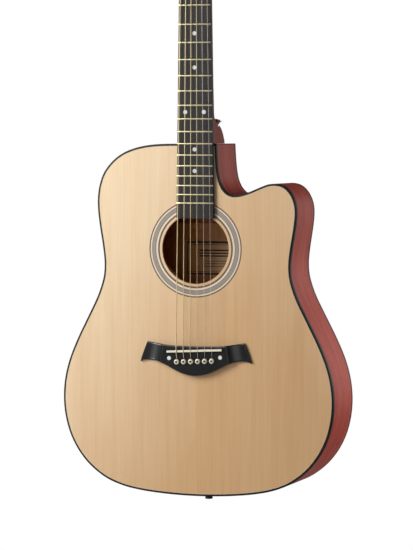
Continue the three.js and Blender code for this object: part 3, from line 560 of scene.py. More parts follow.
BONE = plastic("bone_cream", (0.93, 0.85, 0.70), 0.32, (0.94, 1.05), 90, Coat_Weight=0.3, Coat_Roughness=0.15)
PINC = plastic("pin_cream", (0.94, 0.87, 0.70), 0.25, (0.94, 1.05), 90, Coat_Weight=0.5, Coat_Roughness=0.1)
PINB = plastic("pin_black", (0.012, 0.011, 0.011), 0.25, Coat_Weight=0.5, Coat_Roughness=0.1)
FRETM = metal("fret_metal", (0.92, 0.82, 0.50), 0.34, (60, 2500, 2500))
NICKEL = metal("nickel", (0.66, 0.65, 0.62), 0.18)
GEARM = metal("gear_brass", (0.62, 0.50, 0.26), 0.3)
STEEL = metal("plain_steel", (0.96, 0.90, 0.80), 0.45, (2500, 2500, 60))
STEEL.node_tree.nodes["Principled BSDF"].inputs["Metallic"].default_value = 0.6
DARKSTEEL = metal("black_oxide", (0.08, 0.08, 0.085), 0.4)
PEARL = pearl()
ROSETTE = rosette_mat()
# The inside of the back and the label carry a painted shadow on their bass side.
INNERBACK = pale_wood("inner_back", (0.98, 0.56, 0.27), (0.74, 0.39, 0.17), "z", True)
BRACE = pale_wood("brace_spruce", (0.62, 0.44, 0.24), (0.48, 0.31, 0.15), "x")
BLOCK = pale_wood("block_wood", (0.40, 0.22, 0.10), (0.27, 0.14, 0.06), "y")
INK = plastic("ink_brown", (0.07, 0.035, 0.016), 0.6)
PAPER = pale_wood("label_tint", (0.98, 0.68, 0.39), (0.86, 0.56, 0.29), "x", True)

# ---------------------------------------------------------------- the body
BASS = [(-15, 0), (-33, 0), (-48, -0.2), (-63.5, -1.0), (-78.8, -2.9), (-94, -6.4), (-109.5, -12.3), (-124.9, -22.4), (-140.2, -40.2), (-147.4, -58), (-150.4, -76), (-150.4, -94),
        (-147.4, -119.7), (-143.2, -145.8), (-140.5, -171), (-141.5, -189.5), (-146, -206.7), (-153, -224.3), (-161.8, -241.9), (-170.8, -259.5), (-179.8, -277.2), (-188, -294.9), (-195, -312.6),
        (-200.2, -330.3), (-203.4, -348), (-204.6, -366), (-203.8, -383.5), (-201, -400.5), (-196, -418), (-188.2, -435.3), (-177.2, -452.3), (-161.6, -469), (-138, -485.6), (-112, -495.6), (-86.5, -500.8),
        (-61.8, -503.7), (-37, -505.5), (-12, -506.4)]
LOWER = [(-x, z) for x, z in reversed(BASS[15:])]
CUT = [(140.5, -172), (142.6, -152), (145.8, -133), (148.7, -115), (150.1, -99.6), (149.3, -88.2), (146.5, -78.6), (141.6, -69.6), (134.4, -62), (126.6, -58.2), (117.1, -56.8), (107.6, -57.8),
       (98.2, -61), (89, -64.8), (80, -68.5), (71, -71.4), (63.2, -73.1), (55.5, -73.5), (50.4, -72.2), (45, -68.8), (39.4, -61.8), (35.8, -53.5), (33.4, -43), (32, -30), (31, -14), (30.6, 0)]
OUT = spline([(30.6, 0), (15, 0)] + BASS + LOWER + CUT, 4.0)
OUT = [(x, min(z, 0.0)) for x, z in OUT] + [(30.6, -0.02)]
BIND_W, BIND_H = 3.0, 6.0


def back_y(x, z):
    return 85 - 0.045 * z + 5 * (1 - (x / 205) ** 2)


def at(pts, yf):
    return [(x, yf(x, z) if callable(yf) else yf, z) for x, z in pts]


def body():
    # Soundboard, with its edge and the hole's rim just broken.
    o = inset(OUT, BIND_W + 0.55)
    hole = circle(HOLE_X, HOLE_Z, HOLE_R, 96)
    ro_out, ro_in = circle(HOLE_X, HOLE_Z, 69.8, 96), circle(HOLE_X, HOLE_Z, 54.0, 96)
    v, f = [], []

    def fill(outer, inner, y):
        n0 = len(v)
        v.extend(flat(outer, y) + flat(inner, y))
        tri = tessellate_polygon([[Vector((x, z, 0)) for x, z in outer], [Vector((x, z, 0)) for x, z in inner]])
        f.extend(tuple(n0 + k for k in t) for t in tri)

    def skirt(pts, y0, y1):
        n0, n = len(v), len(pts)
        v.extend(flat(pts, y0) + flat(pts, y1))
        f.extend((n0 + i, n0 + (i + 1) % n, n0 + n + (i + 1) % n, n0 + n + i) for i in range(n))

    def annulus(a, ya, b, yb):
        n0, n = len(v), len(a)
        v.extend(flat(a, ya) + flat(b, yb))
        f.extend((n0 + i, n0 + (i + 1) % n, n0 + n + (i + 1) % n, n0 + n + i) for i in range(n))

    fill(o, ro_out, 0.0)
    skirt(ro_out, 0.0, 0.6)
    annulus(ro_out, 0.6, ro_in, 0.6)
    skirt(ro_in, 0.6, 0.0)
    rim = circle(HOLE_X, HOLE_Z, HOLE_R + 0.4, 96)
    annulus(ro_in, 0.0, rim, 0.0)
    annulus(rim, 0.0, hole, 0.4)
    skirt(hole, 0.4, 3.0)
    fill(o, hole, 3.0)
    skirt(o, 0.0, 3.0)
    obj("top_plate", v, f, SPRUCE, "guitar", ["soundboard"], "spruce", smooth=20)
    # The rosette, flush in its channel.
    a, b = circle(HOLE_X, HOLE_Z, 69.75, 192), circle(HOLE_X, HOLE_Z, 54.05, 192)
    vv, ff = loops([flat(a, 0.55), flat(a, -0.02), flat(b, -0.02), flat(b, 0.55)], close=True)
    obj("rosette_rings", vv, ff, ROSETTE, "guitar", ["rosette"], "rosette_inlay", smooth=30)
    # Pale line inside the binding.
    p0, p1 = inset(OUT, BIND_W), inset(OUT, BIND_W + 0.55)
    vv, ff = loops([flat(p0, 2.0), flat(p0, -0.01), flat(p1, -0.01), flat(p1, 2.0)], close=True)
    obj("purfling", vv, ff, PURF, "guitar", (), "bone", smooth=30)
    # Bindings with a rounded outer edge.
    prof = [(0.0, BIND_H), (0.0, 1.3), (0.1, 0.75), (0.38, 0.32), (0.8, 0.08), (1.3, -0.03), (BIND_W, -0.03), (BIND_W, BIND_H)]
    vv, ff = loops([at(inset(OUT, d), y) for d, y in prof], close=True)
    obj("edge_binding_top", vv, ff, BIND, "guitar", ["binding_top"], "black_binding", smooth=60)
    vv, ff = loops([at(inset(OUT, d), lambda x, z, q=y: back_y(x, z) - q) for d, y in prof], close=True)
    obj("edge_binding_back", vv, ff, BIND, "guitar", ["binding_back"], "black_binding", smooth=60)
    # Sides: the outer skin is slightly cushioned into the bindings.
    rows = [0.0, 0.04, 0.2, 0.4, 0.6, 0.8, 0.96, 1.0]
    secs = []
    for t in rows:
        d = 0.10 if t in (0.0, 1.0) else 0.02
        secs.append(at(inset(OUT, d), lambda x, z, t=t: BIND_H + (back_y(x, z) - 2 * BIND_H) * t))
    for t in (1.0, 0.0):
        secs.append(at(inset(OUT, 2.4), lambda x, z, t=t: BIND_H + (back_y(x, z) - 2 * BIND_H) * t))
    vv, ff = loops(secs, close=True)
    fm = []
    n = len(OUT)
    for k in range(len(ff)):
        fm.append(1 if k // n == len(secs) - 2 else 0)
    obj("sides", vv, ff, [SIDE, INNERBACK], "guitar", ["side_bass", "side_treble"], "mahogany", smooth=30, face_mats=fm)
    # A thin strip over the joint of the sides at the tail.
    vv, ff = box(-1.2, 1.2, BIND_H, back_y(0, -506) - BIND_H, -506.75, -505.5)
    obj("tail_strip", vv, ff, BIND, "guitar", (), "black_binding", smooth=30)
    # A dark strip down the corner where the cutaway meets the shoulder.
    vv, ff = box(29.7, 30.85, BIND_H, back_y(30, 0) - BIND_H, -1.2, 0.15)
    obj("corner_strip", vv, ff, BIND, "guitar", (), "black_binding", smooth=30)
    # Arched back: rings that shrink towards a centre, on both faces.
    c = (0.0, -280.0)
    o = inset(OUT, BIND_W)
    ks = [1.0, 0.97, 0.9, 0.8, 0.68, 0.55, 0.4, 0.25, 0.1]
    def rings(off, order):
        return [[(c[0] + (x - c[0]) * k, back_y(c[0] + (x - c[0]) * k, c[1] + (z - c[1]) * k) + off, c[1] + (z - c[1]) * k) for x, z in o] for k in order]
    secs = rings(-3.0, ks[::-1]) + rings(0.0, ks)
    vv, ff = loops(secs, caps=True)
    n = len(o)
    fm = []
    for f_ in ff:
        m_ = 1 if max(f_) < len(ks) * n else 0
        fm.append(m_)
    obj("back_panel", vv, ff, [BACK, INNERBACK], "guitar", ["back_plate"], "mahogany", smooth=25, face_mats=fm)
    # Centre strip of the back.
    zs = [-503.8 + i * (502.0) / 60 for i in range(61)]
    secs = [[(-2.2, back_y(0, z) - 0.3, z), (-2.2, back_y(0, z) + 0.03, z), (2.2, back_y(0, z) + 0.03, z), (2.2, back_y(0, z) - 0.3, z)] for z in zs]
    vv, ff = loops(secs)
    obj("back_strip", vv, ff, BIND, "guitar", (), "black_binding", smooth=30)


body()


# ---------------------------------------------------------------- inside
def inside():
    for n in ("lining_top_bass", "lining_top_treble", "lining_back_bass", "lining_back_treble", "x_brace_bass_top", "x_brace_treble_top", "upper_brace", "bridge_plate", "back_brace_upper", "back_brace_lower"):
        NODES[n].data.materials.clear()
        NODES[n].data.materials.append(BRACE)
    for n in ("back_brace_upper", "back_brace_lower"):
        NODES[n].data.materials.clear()
        NODES[n].data.materials.append(INNERBACK)
    for n in ("neck_block", "tail_block"):
        NODES[n].data.materials.clear()
        NODES[n].data.materials.append(BLOCK)
    for n, m in (("truss_rod", STEEL), ("truss_rod_nut", DARKSTEEL)):
        NODES[n].data.materials.clear()
        NODES[n].data.materials.append(m)
    for n in ("upper_brace", "back_brace_upper", "back_brace_lower", "neck_block", "tail_block"):
        bevel(NODES[n], 1.0, 2)
    # A plain tinted panel with ruled lines, on the back's inner face.
    def patch(name, x0, x1, z0, z1, off, mat, slot):
        nx, nz = 8, 4
        v, f = [], []
        for o_ in (0.0, 0.12):
            for i in range(nx + 1):
                for j in range(nz + 1):
                    x, z = x0 + (x1 - x0) * i / nx, z0 + (z1 - z0) * j / nz
                    v.append((x, back_y(x, z) - 3.0 - off + o_, z))
        K = (nx + 1) * (nz + 1)
        for i in range(nx):
            for j in range(nz):
                a = i * (nz + 1) + j
                f.append((a, a + 1, a + nz + 2, a + nz + 1))
                f.append((K + a, K + a + nz + 1, K + a + nz + 2, K + a + 1))
        edge = [i * (nz + 1) for i in range(nx + 1)] + [nx * (nz + 1) + j for j in range(1, nz + 1)] + [i * (nz + 1) + nz for i in range(nx - 1, -1, -1)] + [j for j in range(nz - 1, 0, -1)]
        for a, b in zip(edge, edge[1:] + edge[:1]):
            f.append((a, b, K + b, K + a))
        return v, f
    b = Build()
    b.add(*patch("", -47, 47, -193, -142, 0.15, None, None), mat=0)
    for z0, z1, x0, x1 in ((-146.0, -142.8, -44, 44), (-148.2, -147.6, -43, 43), (-192.2, -189.6, -44, 44), (-188.0, -187.4, -43, 43), (-157.4, -155.2, -27, 27), (-161.5, -159.7, -27, 27), (-165.6, -163.6, -27, 27), (-172.6, -171.8, -18, 18), (-176.4, -175.6, -18, 18), (-180.2, -179.4, -18, 18)):
        b.add(*patch("", x0, x1, z0, z1, 0.3, None, None), mat=1)
    for x0, x1 in ((-46.0, -44.4), (44.4, 46.0)):
        b.add(*patch("", x0, x1, -192.2, -142.8, 0.3, None, None), mat=1)
    b.make("label", [PAPER, INK], "guitar", slot="inner_wood", smooth=30)


inside()

# ---------------------------------------------------------------- neck
SCALE, NUT_W, TAPER = 650.0, 43.0, 0.0281


def fret_z(n):
    return SCALE * 2 ** (-n / 12) - SCALE * 2 ** (-14 / 12)


NUT_Z = fret_z(0)


def half(z):
    return (NUT_W + (NUT_Z - z) * TAPER) / 2


def shaft_depth(z):
    return 14 + (NUT_Z - z) * 0.0075


SEG, NARROWING, HEEL_END = 44, 0.34, 86.0


def neck_section(z, hw, depth, heel):
    pts = []
    for k in range(SEG + 1):
        t = math.pi * k / SEG
        c, s = math.cos(t), max(0.0, math.sin(t))
        sg = 1 if c > 0 else -1
        rd = (hw * sg * abs(c) ** 0.8, depth * s ** 0.85)
        f = s ** 0.75
        kl = (sg * hw * abs(c) ** 0.22 * (1 - NARROWING * f), min(depth * f, HEEL_END))
        pts.append((rd[0] * (1 - heel) + kl[0] * heel, rd[1] * (1 - heel) + kl[1] * heel, z))
    return pts


HEEL = [(0.2, 91, 1), (6, 89.5, 1), (12, 86, 1), (18, 80.5, 0.98), (24, 71.5, 0.93), (29, 59, 0.83), (33, 44, 0.66), (38, 31, 0.42), (45, 24, 0.2), (56, 20, 0.06), (75, 17.6, 0)]
TILT = Matrix.Translation((0, 0, 366.2)) @ Matrix.Rotation(math.radians(-14), 4, "X")


def H(p):
    return tuple(TILT @ Vector(p))


HEAD_SIDE = [(21.6, -2), (22.2, 3), (24.6, 9), (29.4, 15), (34.2, 19.5), (36.2, 26), (36.9, 45), (38.2, 90), (39.6, 130), (40.4, 150), (38.5, 158), (32, 161.5), (22, 163.5), (12, 167.5), (5, 171.2), (0, 172)]


def interp(table, z):
    if z <= table[0][0]:
        return table[0][1:]
    for a, b in zip(table, table[1:]):
        if z <= b[0]:
            t = (z - a[0]) / (b[0] - a[0])
            return tuple(p + (q - p) * t for p, q in zip(a[1:], b[1:]))
    return table[-1][1:]


def smooth_table(table, z):
    """Monotone-ish cubic through the table's rows."""
    i = max(0, min(len(table) - 2, next((k for k in range(len(table) - 1) if z <= table[k + 1][0]), len(table) - 2)))
    a, b = table[i], table[i + 1]
    h = b[0] - a[0]
    t = (z - a[0]) / h
    out = []
    for c in range(1, len(a)):
        def slope(k):
            if k <= 0 or k >= len(table) - 1:
                j = min(max(k, 0), len(table) - 2)
                return (table[j + 1][c] - table[j][c]) / (table[j + 1][0] - table[j][0])
            return (table[k + 1][c] - table[k - 1][c]) / (table[k + 1][0] - table[k - 1][0])
        m0, m1 = slope(i), slope(i + 1)
        out.append((2 * t**3 - 3 * t**2 + 1) * a[c] + (t**3 - 2 * t**2 + t) * h * m0 + (-2 * t**3 + 3 * t**2) * b[c] + (t**3 - t**2) * h * m1)
    return out


def neck():
    zs = [0.2 + i * 1.0 for i in range(50)] + [50 + i * 2.0 for i in range(15)] + [80 + i * 10 for i in range(0, 28)] + [356, 360, 364, 367]
    secs = []
    for z in zs:
        if z < 80:
            d, h = smooth_table(HEEL, z)
        else:
            d, h = shaft_depth(z), 0
        extra = max(0.0, (z - 356) / 11) * 1.0
        secs.append(neck_section(z, half(min(z, NUT_Z)), max(d, shaft_depth(z)) + extra, min(1, max(0, h))))
    b = Build()
    v, f = loops(secs)
    b.add(v, f, 0)
    # Headstock with rounded back edges.
    side = spline(HEAD_SIDE, 2.5) + [(0, 172)]
    outline = side + [(-x, z) for x, z in reversed(side[:-1])]
    T = 14.0
    prof = [(0.0, 0.0), (0.0, T - 2.4), (0.25, T - 1.2), (0.9, T - 0.35), (2.0, T)]
    secs = [[H((x, y, z)) for x, z in inset(outline, d)] for d, y in prof]
    v, f = loops(secs)
    b.add(v, f, 0)
    # Volute: a low keel behind the nut.
    secs = []
    for i in range(13):
        t = i / 12
        z = 352 + t * 22
        w = 11.5 * math.sin(math.pi * t) ** 0.6 if 0 < t < 1 else 0.05
        y0 = shaft_depth(352) - 2.0 + t * 4.2
        secs.append([(w * math.cos(a), y0 + 2.6 * math.sin(math.pi * t) * math.sin(a), z) for a in [math.pi * k / 16 for k in range(17)]])
    v, f = loops(secs)
    b.add(v, f, 0)
    b.make("neck_wood", NECKW, "guitar", replaces=["neck"], slot="mahogany", smooth=40)
    # The heel's cap, with the outline of the heel's flat end.
    edge = []
    for i in range(25):
        z = 0.25 + i * 0.48
        d = smooth_table(HEEL, z)[0]
        if d < HEEL_END + 0.6:
            break
        q = (HEEL_END + 0.5) / d
        c = math.sqrt(max(0.0, 1 - q ** (2 / 0.75)))
        edge.append((half(z) * c ** 0.22 * (1 - NARROWING * q), z))
    top = edge[-1]
    cap = edge + [(top[0] * k, top[1] + 0.9 * (1 - k * k)) for k in (0.7, 0.35, 0.0, -0.35, -0.7)] + [(-x, z) for x, z in reversed(edge)]
    secs = [flat(inset(cap, d), y) for d, y in ((0.35, 86.06), (0.35, 86.35), (0.0, 86.36), (0.0, 88.0), (0.18, 88.4), (0.6, 88.6))]
    v, f = loops(secs)
    obj("heel_plate", v, f, NECKW, "guitar", ["heel_cap"], "mahogany", smooth=40)
    # Face veneer.
    o1 = inset(outline, 0.2)
    o1 = [(x, max(z, 1.2)) for x, z in o1]
    prof = [(0.0, -0.12), (0.0, -1.25), (0.25, -1.5), (0.6, -1.6)]
    secs = []
    for d, y in prof:
        q = [(x * (1 - d / 40), z if z <= 1.3 else z - d * (z - 86) / 86) for x, z in o1]
        secs.append([H((x, y, z)) for x, z in q])
    v, f = loops(secs)
    obj("head_face", v, f, VENEER, "guitar", ["headstock_veneer"], "ebony", smooth=40)


neck()

BOARD_Y1 = -0.15
BOARD_Y0 = BOARD_Y1 - 6.5
BOARD_END = -106.8


def crown_y(x):
    return BOARD_Y0 + (x / 27) ** 2 * 0.9  # the board's face is a little rounded across


def fretboard():
    secs = []
    for z in (BOARD_END, -50, 50, 150, 250, NUT_Z):
        h = half(z)
        xs = [-h, -h, -h + 0.5] + [-h + 0.5 + (2 * h - 1) * i / 12 for i in range(1, 12)] + [h - 0.5, h, h]
        ys = [BOARD_Y1, crown_y(h) + 0.5] + [crown_y(x) for x in xs[2:-2]] + [crown_y(h) + 0.5, BOARD_Y1]
        secs.append([(x, y, z) for x, y in zip(xs, ys)])
    v, f = loops(secs)
    obj("fingerboard", v, f, BOARDW, "guitar", ["fretboard"], "fretboard_wood", smooth=25)
    b = Build()
    for n in range(1, 21):
        z, h = fret_z(n), half(fret_z(n)) - 0.1
        secs = []
        for i in range(15):
            x = -h + 2 * h * i / 14
            e = min(1.0, (h - abs(x)) / 0.8 + 0.35)
            y = crown_y(x)
            secs.append([(x, y + 0.3, z - 1.05)] + [(x, y - 1.05 * e * math.sin(a), z - 1.05 * math.cos(a)) for a in [math.pi * k / 8 for k in range(9)]] + [(x, y + 0.3, z + 1.05)])
        v, f = loops(secs)
        b.add(v, f)
    b.make("fret_wires", FRETM, "guitar", replaces=["frets"], slot="fret_metal", smooth=50)
    b = Build()
    for n, x in ((3, 0), (5, 0), (7, 0), (9, 0), (12, -14), (12, 14), (15, 0), (17, 0)):
        z = (fret_z(n) + fret_z(n - 1)) / 2
        v, f = lathe([(0, 0), (1.0, 0), (2.0, 0), (3.0, 0.02), (3.1, 0.4), (0, 0.4)], 32, (x, 0, z), (0, 1, 0))
        b.add([(p[0], p[1] + crown_y(p[0]) - 0.05, p[2]) for p in v], f)
    b.make("dots", PEARL, "guitar", replaces=["position_dots"], slot="pearl", smooth=40)
    # Small dots on the bass edge of the board.
    b = Build()
    for n, dz in ((3, 0), (5, 0), (7, 0), (9, 0), (12, -3), (12, 3), (15, 0), (17, 0)):
        z = (fret_z(n) + fret_z(n - 1)) / 2 + dz
        v, f = lathe([(0, 0), (1.0, 0), (1.05, 0.3), (0, 0.3)], 16, (-half(z) - 0.03, -3.2, z), (1, 0, 0))
        b.add(v, f)
    b.make("side_dots", PEARL, "guitar", slot="pearl", smooth=40)


fretboard()

for name in ("nut", "saddle"):
    NODES[name].data.materials.clear()
    NODES[name].data.materials.append(BONE)
bevel(NODES["saddle"], 0.7, 3)
bevel(NODES["nut"], 0.25, 2)

# ---------------------------------------------------------------- bridge
B_UP = [(-84.3, -313.4), (-79.2, -298.6), (-73.6, -284.4), (-62, -286.1), (-50, -288), (-35, -289.4), (-15, -290.2), (15, -290.2), (35, -289.4), (50, -288), (62, -286.1), (73.6, -284.4), (79.2, -298.6), (84.3, -313.4)]
B_LOW = [(-84.3, -313.4), (-78, -311.4), (-70.5, -310.9), (-62, -311.6), (-54, -313.6), (-46, -316.8), (-37, -321.2), (-28, -325.8), (-18.5, -329.6), (-9, -331.9), (0, -332.6), (9, -331.9), (18.5, -329.6), (28, -325.8), (37, -321.2), (46, -316.8), (54, -313.6), (62, -311.6), (70.5, -310.9), (78, -311.4), (84.3, -313.4)]


def bridge():
    low = spline(B_LOW, 1.0) + [B_LOW[-1]]
    up = [B_UP[0]] + [B_UP[1]] + spline(B_UP[2:12], 1.0) + [B_UP[11], B_UP[12], B_UP[13]]

    def val(tab, x):
        for a, b in zip(tab, tab[1:]):
            if a[0] <= x <= b[0]:
                return a[1] + (b[1] - a[1]) * ((x - a[0]) / max(1e-9, b[0] - a[0]))
        return tab[0][1] if x < 0 else tab[-1][1]

    def height(x, z):
        e = 47.5 + (-284 - z) * 0.19  # where the raised block ends
        d = abs(x) - e
        if d <= 0:
            return 8.6
        wing = 3.7
        t = min(1.0, d / 21.0)
        return wing + (8.0 - wing) * (1 - t) ** 2

    xs = []
    x = -84.2
    while x <= 84.2001:
        xs.append(x)
        x += 0.7 if 44 < abs(x) < 66 or abs(x) > 72 else 1.6
    xs[-1] = 84.2
    T = 17
    v, f = [], []
    rows = []
    for x in xs:
        z0, z1 = val(low, x), val(up, x)
        w = max(0.05, z1 - z0)
        row = [(x, BOARD_Y1, z0)]
        for i in range(T):
            t = i / (T - 1)
            # samples crowd towards the edges for the round-over
            s = 0.5 - 0.5 * math.cos(math.pi * t)
            z = z0 + w * s
            d = min(z - z0, z1 - z, 84.3 - abs(x) + 0.15)
            hgt = height(x, z)
            r = 1.3
            if d < r:
                hgt -= r - math.sqrt(max(0.0, r * r - (r - d) ** 2))
            row.append((x, BOARD_Y1 - hgt, z))
        row.append((x, BOARD_Y1, z1))
        rows.append(row)
    v, f = loops(rows)
    obj("bridge_body", v, f, BRIDGEW, "guitar", ["bridge"], "ebony", smooth=40)
    b = Build()
    for x, z in ((-38.6, -307.6), (38.6, -305.2)):
        vv, ff = lathe([(0, 0), (2.9, 0.04), (3.05, 0.4), (0, 0.4)], 32, (x, BOARD_Y1 - 8.65, z), (0, 1, 0))
        b.add(vv, ff)
    b.make("bridge_dots", PEARL, "guitar", replaces=["bridge_dot_bass", "bridge_dot_treble"], slot="pearl", smooth=40)


bridge()
PINS = [((i - 2.5) * 10.6, -312.6 + i * 0.45) for i in range(6)]
NAMES = ["6", "5", "4", "3", "2", "1"]
PIN_Y = -8.75


def pins():
    prof = [(0, -22), (1.6, -22), (2.0, -21.5), (2.55, -4), (2.6, 0.25), (3.0, 0.35), (3.6, 0.5), (3.9, 1.2), (3.86, 2.0), (3.5, 2.8), (2.8, 3.5), (2.0, 3.9), (1.75, 3.95)]
    dot = [(1.75, 3.9), (1.7, 3.99), (1.2, 4.1), (0, 4.15)]
    for (x, z), n in zip(PINS, NAMES):
        b = Build()
        v, f = lathe(prof + [(0, 3.9)], 28, (x, PIN_Y, z), (0, -1, 0))
        b.add(v, f, 0)
        v, f = lathe([(0, 3.5)] + dot, 28, (x, PIN_Y, z), (0, -1, 0))
        b.add(v, f, 1)
        b.make("pin_" + n, [PINC, PINB], "pin_" + n, replaces=["bridge_pin_" + n], slot="bone", smooth=40)


pins()

# ---------------------------------------------------------------- hardware on the body
def hardware():
    prof = [(0, 0), (4.0, 0), (4.2, 0.25), (4.2, 0.8), (3.8, 1.4), (3.1, 2.2), (2.85, 3.1), (2.85, 5.0), (3.2, 6.0), (4.2, 7.0), (4.7, 7.7), (4.8, 8.4), (4.65, 9.1), (4.2, 9.5), (2.2, 9.6), (2.0, 9.35), (0, 9.3)]
    at_, d = (20, 33, 25.5), (0.3, 0.05, 0.953)
    b = Build()
    v, f = lathe(prof, 40, at_, d)
    b.add(v, f)
    b.make("strap_peg", NICKEL, "guitar", replaces=["strap_button"], slot="nickel", smooth=40)
    prof = [(0, 0), (3.4, 0), (3.7, 10), (3.9, 27.6), (4.9, 27.7), (5.2, 28.1), (5.2, 29.2), (4.8, 30.0), (3.8, 31.2), (3.5, 32.2), (3.7, 33.2), (4.6, 34.2), (5.4, 35.2), (5.6, 36.2), (5.5, 37.2), (5.0, 37.8), (4.2, 38.0), (0, 38.0)]
    v, f = lathe(prof, 40, (0, 56, -479), (0, 0, -1))
    obj("tail_pin", v, f, PINB, "guitar", ["end_pin"], "black_pin", smooth=40)


hardware()

# ---------------------------------------------------------------- tuning machines
FIT, POST_R, POST_U, POST_V = 0.3, 3.0, 26.5, (32, 69, 106)
TEETH, MODULE = 14, 0.7
PITCH_R = TEETH * MODULE / 2
WORM_PR = 2.05
CENTRE = PITCH_R + 0.5 + WORM_PR + 0.55 + FIT
PLATE_Y0 = 14.15
PLATE_Y1 = PLATE_Y0 + 1.2
GEAR_Y0 = PLATE_Y1 + 1.9
GEAR_T = 2.4
WORM_Y = GEAR_Y0 + GEAR_T / 2
COIL_W = -6.6
POSTS = [(-POST_U, v, n, i) for i, (v, n) in enumerate(zip(POST_V, ("6", "5", "4")))] + [(POST_U, v, n, 5 - i) for i, (v, n) in enumerate(zip(POST_V, ("1", "2", "3")))]


def tilt(vf):
    v, f = vf
    return [H(p) for p in v], f


def tuners():
    for side, plate in ((-1, "tuner_plate_bass"), (1, "tuner_plate_treble")):
        NODES[plate].data.materials.clear()
        NODES[plate].data.materials.append(NICKEL)
        bevel(NODES[plate], 0.25, 2)
        # Screws, and the bushings on the headstock's face.
        b = Build()
        u = side * POST_U
        for v_ in (POST_V[0] - 12.2, (POST_V[0] + POST_V[1]) / 2 + 3.5, (POST_V[1] + POST_V[2]) / 2 + 3.5, POST_V[2] + 7.0):
            b.add(*tilt(lathe([(0, 0), (2.3, 0), (2.35, 0.3), (2.0, 0.8), (1.2, 1.15), (0, 1.25)], 20, (u - side * 4.6, PLATE_Y1 + 0.02, v_), (0, 1, 0))))
            b.add(*tilt(box(u - side * 4.6 - 0.9, u - side * 4.6 + 0.9, PLATE_Y1 + 1.15, PLATE_Y1 + 1.32, v_ - 0.2, v_ + 0.2)))
            b.add(*tilt(box(u - side * 4.6 - 0.2, u - side * 4.6 + 0.2, PLATE_Y1 + 1.15, PLATE_Y1 + 1.32, v_ - 0.9, v_ + 0.9)))
        b.make("screws_" + ("bass" if side < 0 else "treble"), NICKEL, "guitar", slot="nickel", smooth=40)
        b = Build()
        for v_ in POST_V:
            ring = [(3.35, -1.55), (5.4, -1.55), (5.5, -1.8), (5.3, -2.3), (4.4, -2.7), (3.35, -2.75), (3.35, -1.55)]
            secs = []
            for r, y in ring[:-1]:
                secs.append([(u + r * math.cos(a), y, v_ + r * math.sin(a)) for a in [2 * math.pi * k / 32 for k in range(32)]])
            b.add(*tilt(loops(secs, close=True)))
        b.make("bushings_" + ("bass" if side < 0 else "treble"), NICKEL, "guitar", slot="nickel", smooth=40)
    for u, v_, n, _ in POSTS:
        s = 1 if u > 0 else -1
        # String post and its worm wheel.
        b = Build()
        top = COIL_W - 4.9
        prof = [(0, top), (2.3, top), (2.8, top + 0.25), (3.0, top + 0.8), (3.0, COIL_W - 2.6), (2.75, COIL_W - 1.6), (2.75, COIL_W + 2.0), (3.0, COIL_W + 2.8), (3.0, GEAR_Y0 + 0.2), (1.6, GEAR_Y0 + 0.2), (1.6, GEAR_Y0 + GEAR_T + 0.2), (2.6, GEAR_Y0 + GEAR_T + 0.2), (2.7, GEAR_Y0 + GEAR_T + 0.9), (1.6, GEAR_Y0 + GEAR_T + 1.5), (0, GEAR_Y0 + GEAR_T + 1.55)]
        b.add(*tilt(lathe(prof, 28, (u, 0, v_), (0, 1, 0))), mat=0)
        ro, ri = PITCH_R + 0.5, PITCH_R - 0.85
        pts = []
        for k in range(TEETH):
            for r, a in ((ri, -0.19), (ri + 0.5, -0.12), (ro - 0.15, -0.075), (ro, -0.04), (ro, 0.04), (ro - 0.15, 0.075), (ri + 0.5, 0.12), (ri, 0.19)):
                pts.append((r, 2 * math.pi * k / TEETH + a))
        lead = math.atan(math.pi * MODULE / (2 * math.pi * WORM_PR))
        tw = GEAR_T / 2 * math.tan(lead) / PITCH_R
        secs = []
        for y, q, kf in ((0, -tw, 0.97), (0.25, -tw * 0.8, 1), (GEAR_T - 0.25, tw * 0.8, 1), (GEAR_T, tw, 0.97)):
            secs.append([(u + r * kf * math.cos(t + q), GEAR_Y0 + y, v_ + r * kf * math.sin(t + q)) for r, t in pts])
        b.add(*tilt(loops(secs)), mat=1)
        b.make("post_gear_" + n, [NICKEL, GEARM], "post_" + n, replaces=["string_post_" + n], slot="nickel", smooth=35)
        # Worm, shaft and button.
        b = Build()
        wz, reach = v_ - CENTRE, 41.5 - POST_U
        b.add(*tilt(tube([(u - 7.2, WORM_Y, wz), (u + 7.2, WORM_Y, wz)], 1.45, 16)), mat=0)
        b.add(*tilt(tube([(u, WORM_Y, wz), (u + s * (reach + 6), WORM_Y, wz)], 1.45, 16)), mat=0)
        secs = []
        steps, turns = 16, 2.5
        for k in range(int(steps * turns) + 1):
            q = k / steps - turns / 2
            th = q * 2 * math.pi
            xc = u + q * math.pi * MODULE
            end = min(1.0, min(k, steps * turns - k) / 4 + 0.25)
            ro_ = 1.3 + (WORM_PR + 0.55 - 1.3) * end
            secs.append([(xc + dx, WORM_Y + r * math.sin(th), wz + r * math.cos(th)) for r, dx in ((1.2, -0.55), (ro_ - 0.15, -0.28), (ro_, -0.2), (ro_, 0.2), (ro_ - 0.15, 0.28), (1.2, 0.55))])
        b.add(*tilt(loops(secs)), mat=0)
        prof = [(0, 0), (2.6, 0), (2.9, 0.35), (2.9, 1.2), (2.5, 1.7), (2.3, 2.4), (2.7, 3.4), (4.0, 4.7), (5.6, 6.2), (6.7, 8.0), (7.2, 10.2), (7.0, 12.2), (6.0, 14.2), (4.5, 15.7), (2.6, 16.7), (0, 17.0)]
        b.add(*tilt(lathe(prof, 36, (u + s * reach, WORM_Y, wz), (s, 0, 0), squash=None)), mat=0)
        # Flatten the button to a flat oval in the headstock's thickness.
        nv = 36 * len(prof)
        inv = TILT.inverted()
        for i in range(len(b.v) - nv, len(b.v)):
            p = inv @ Vector(b.v[i])
            p.y = WORM_Y + (p.y - WORM_Y) * 0.55
            b.v[i] = tuple(TILT @ p)
        b.make("button_" + n, NICKEL, "button_" + n, replaces=["tuner_button_" + n], slot="nickel", smooth=40)


tuners()

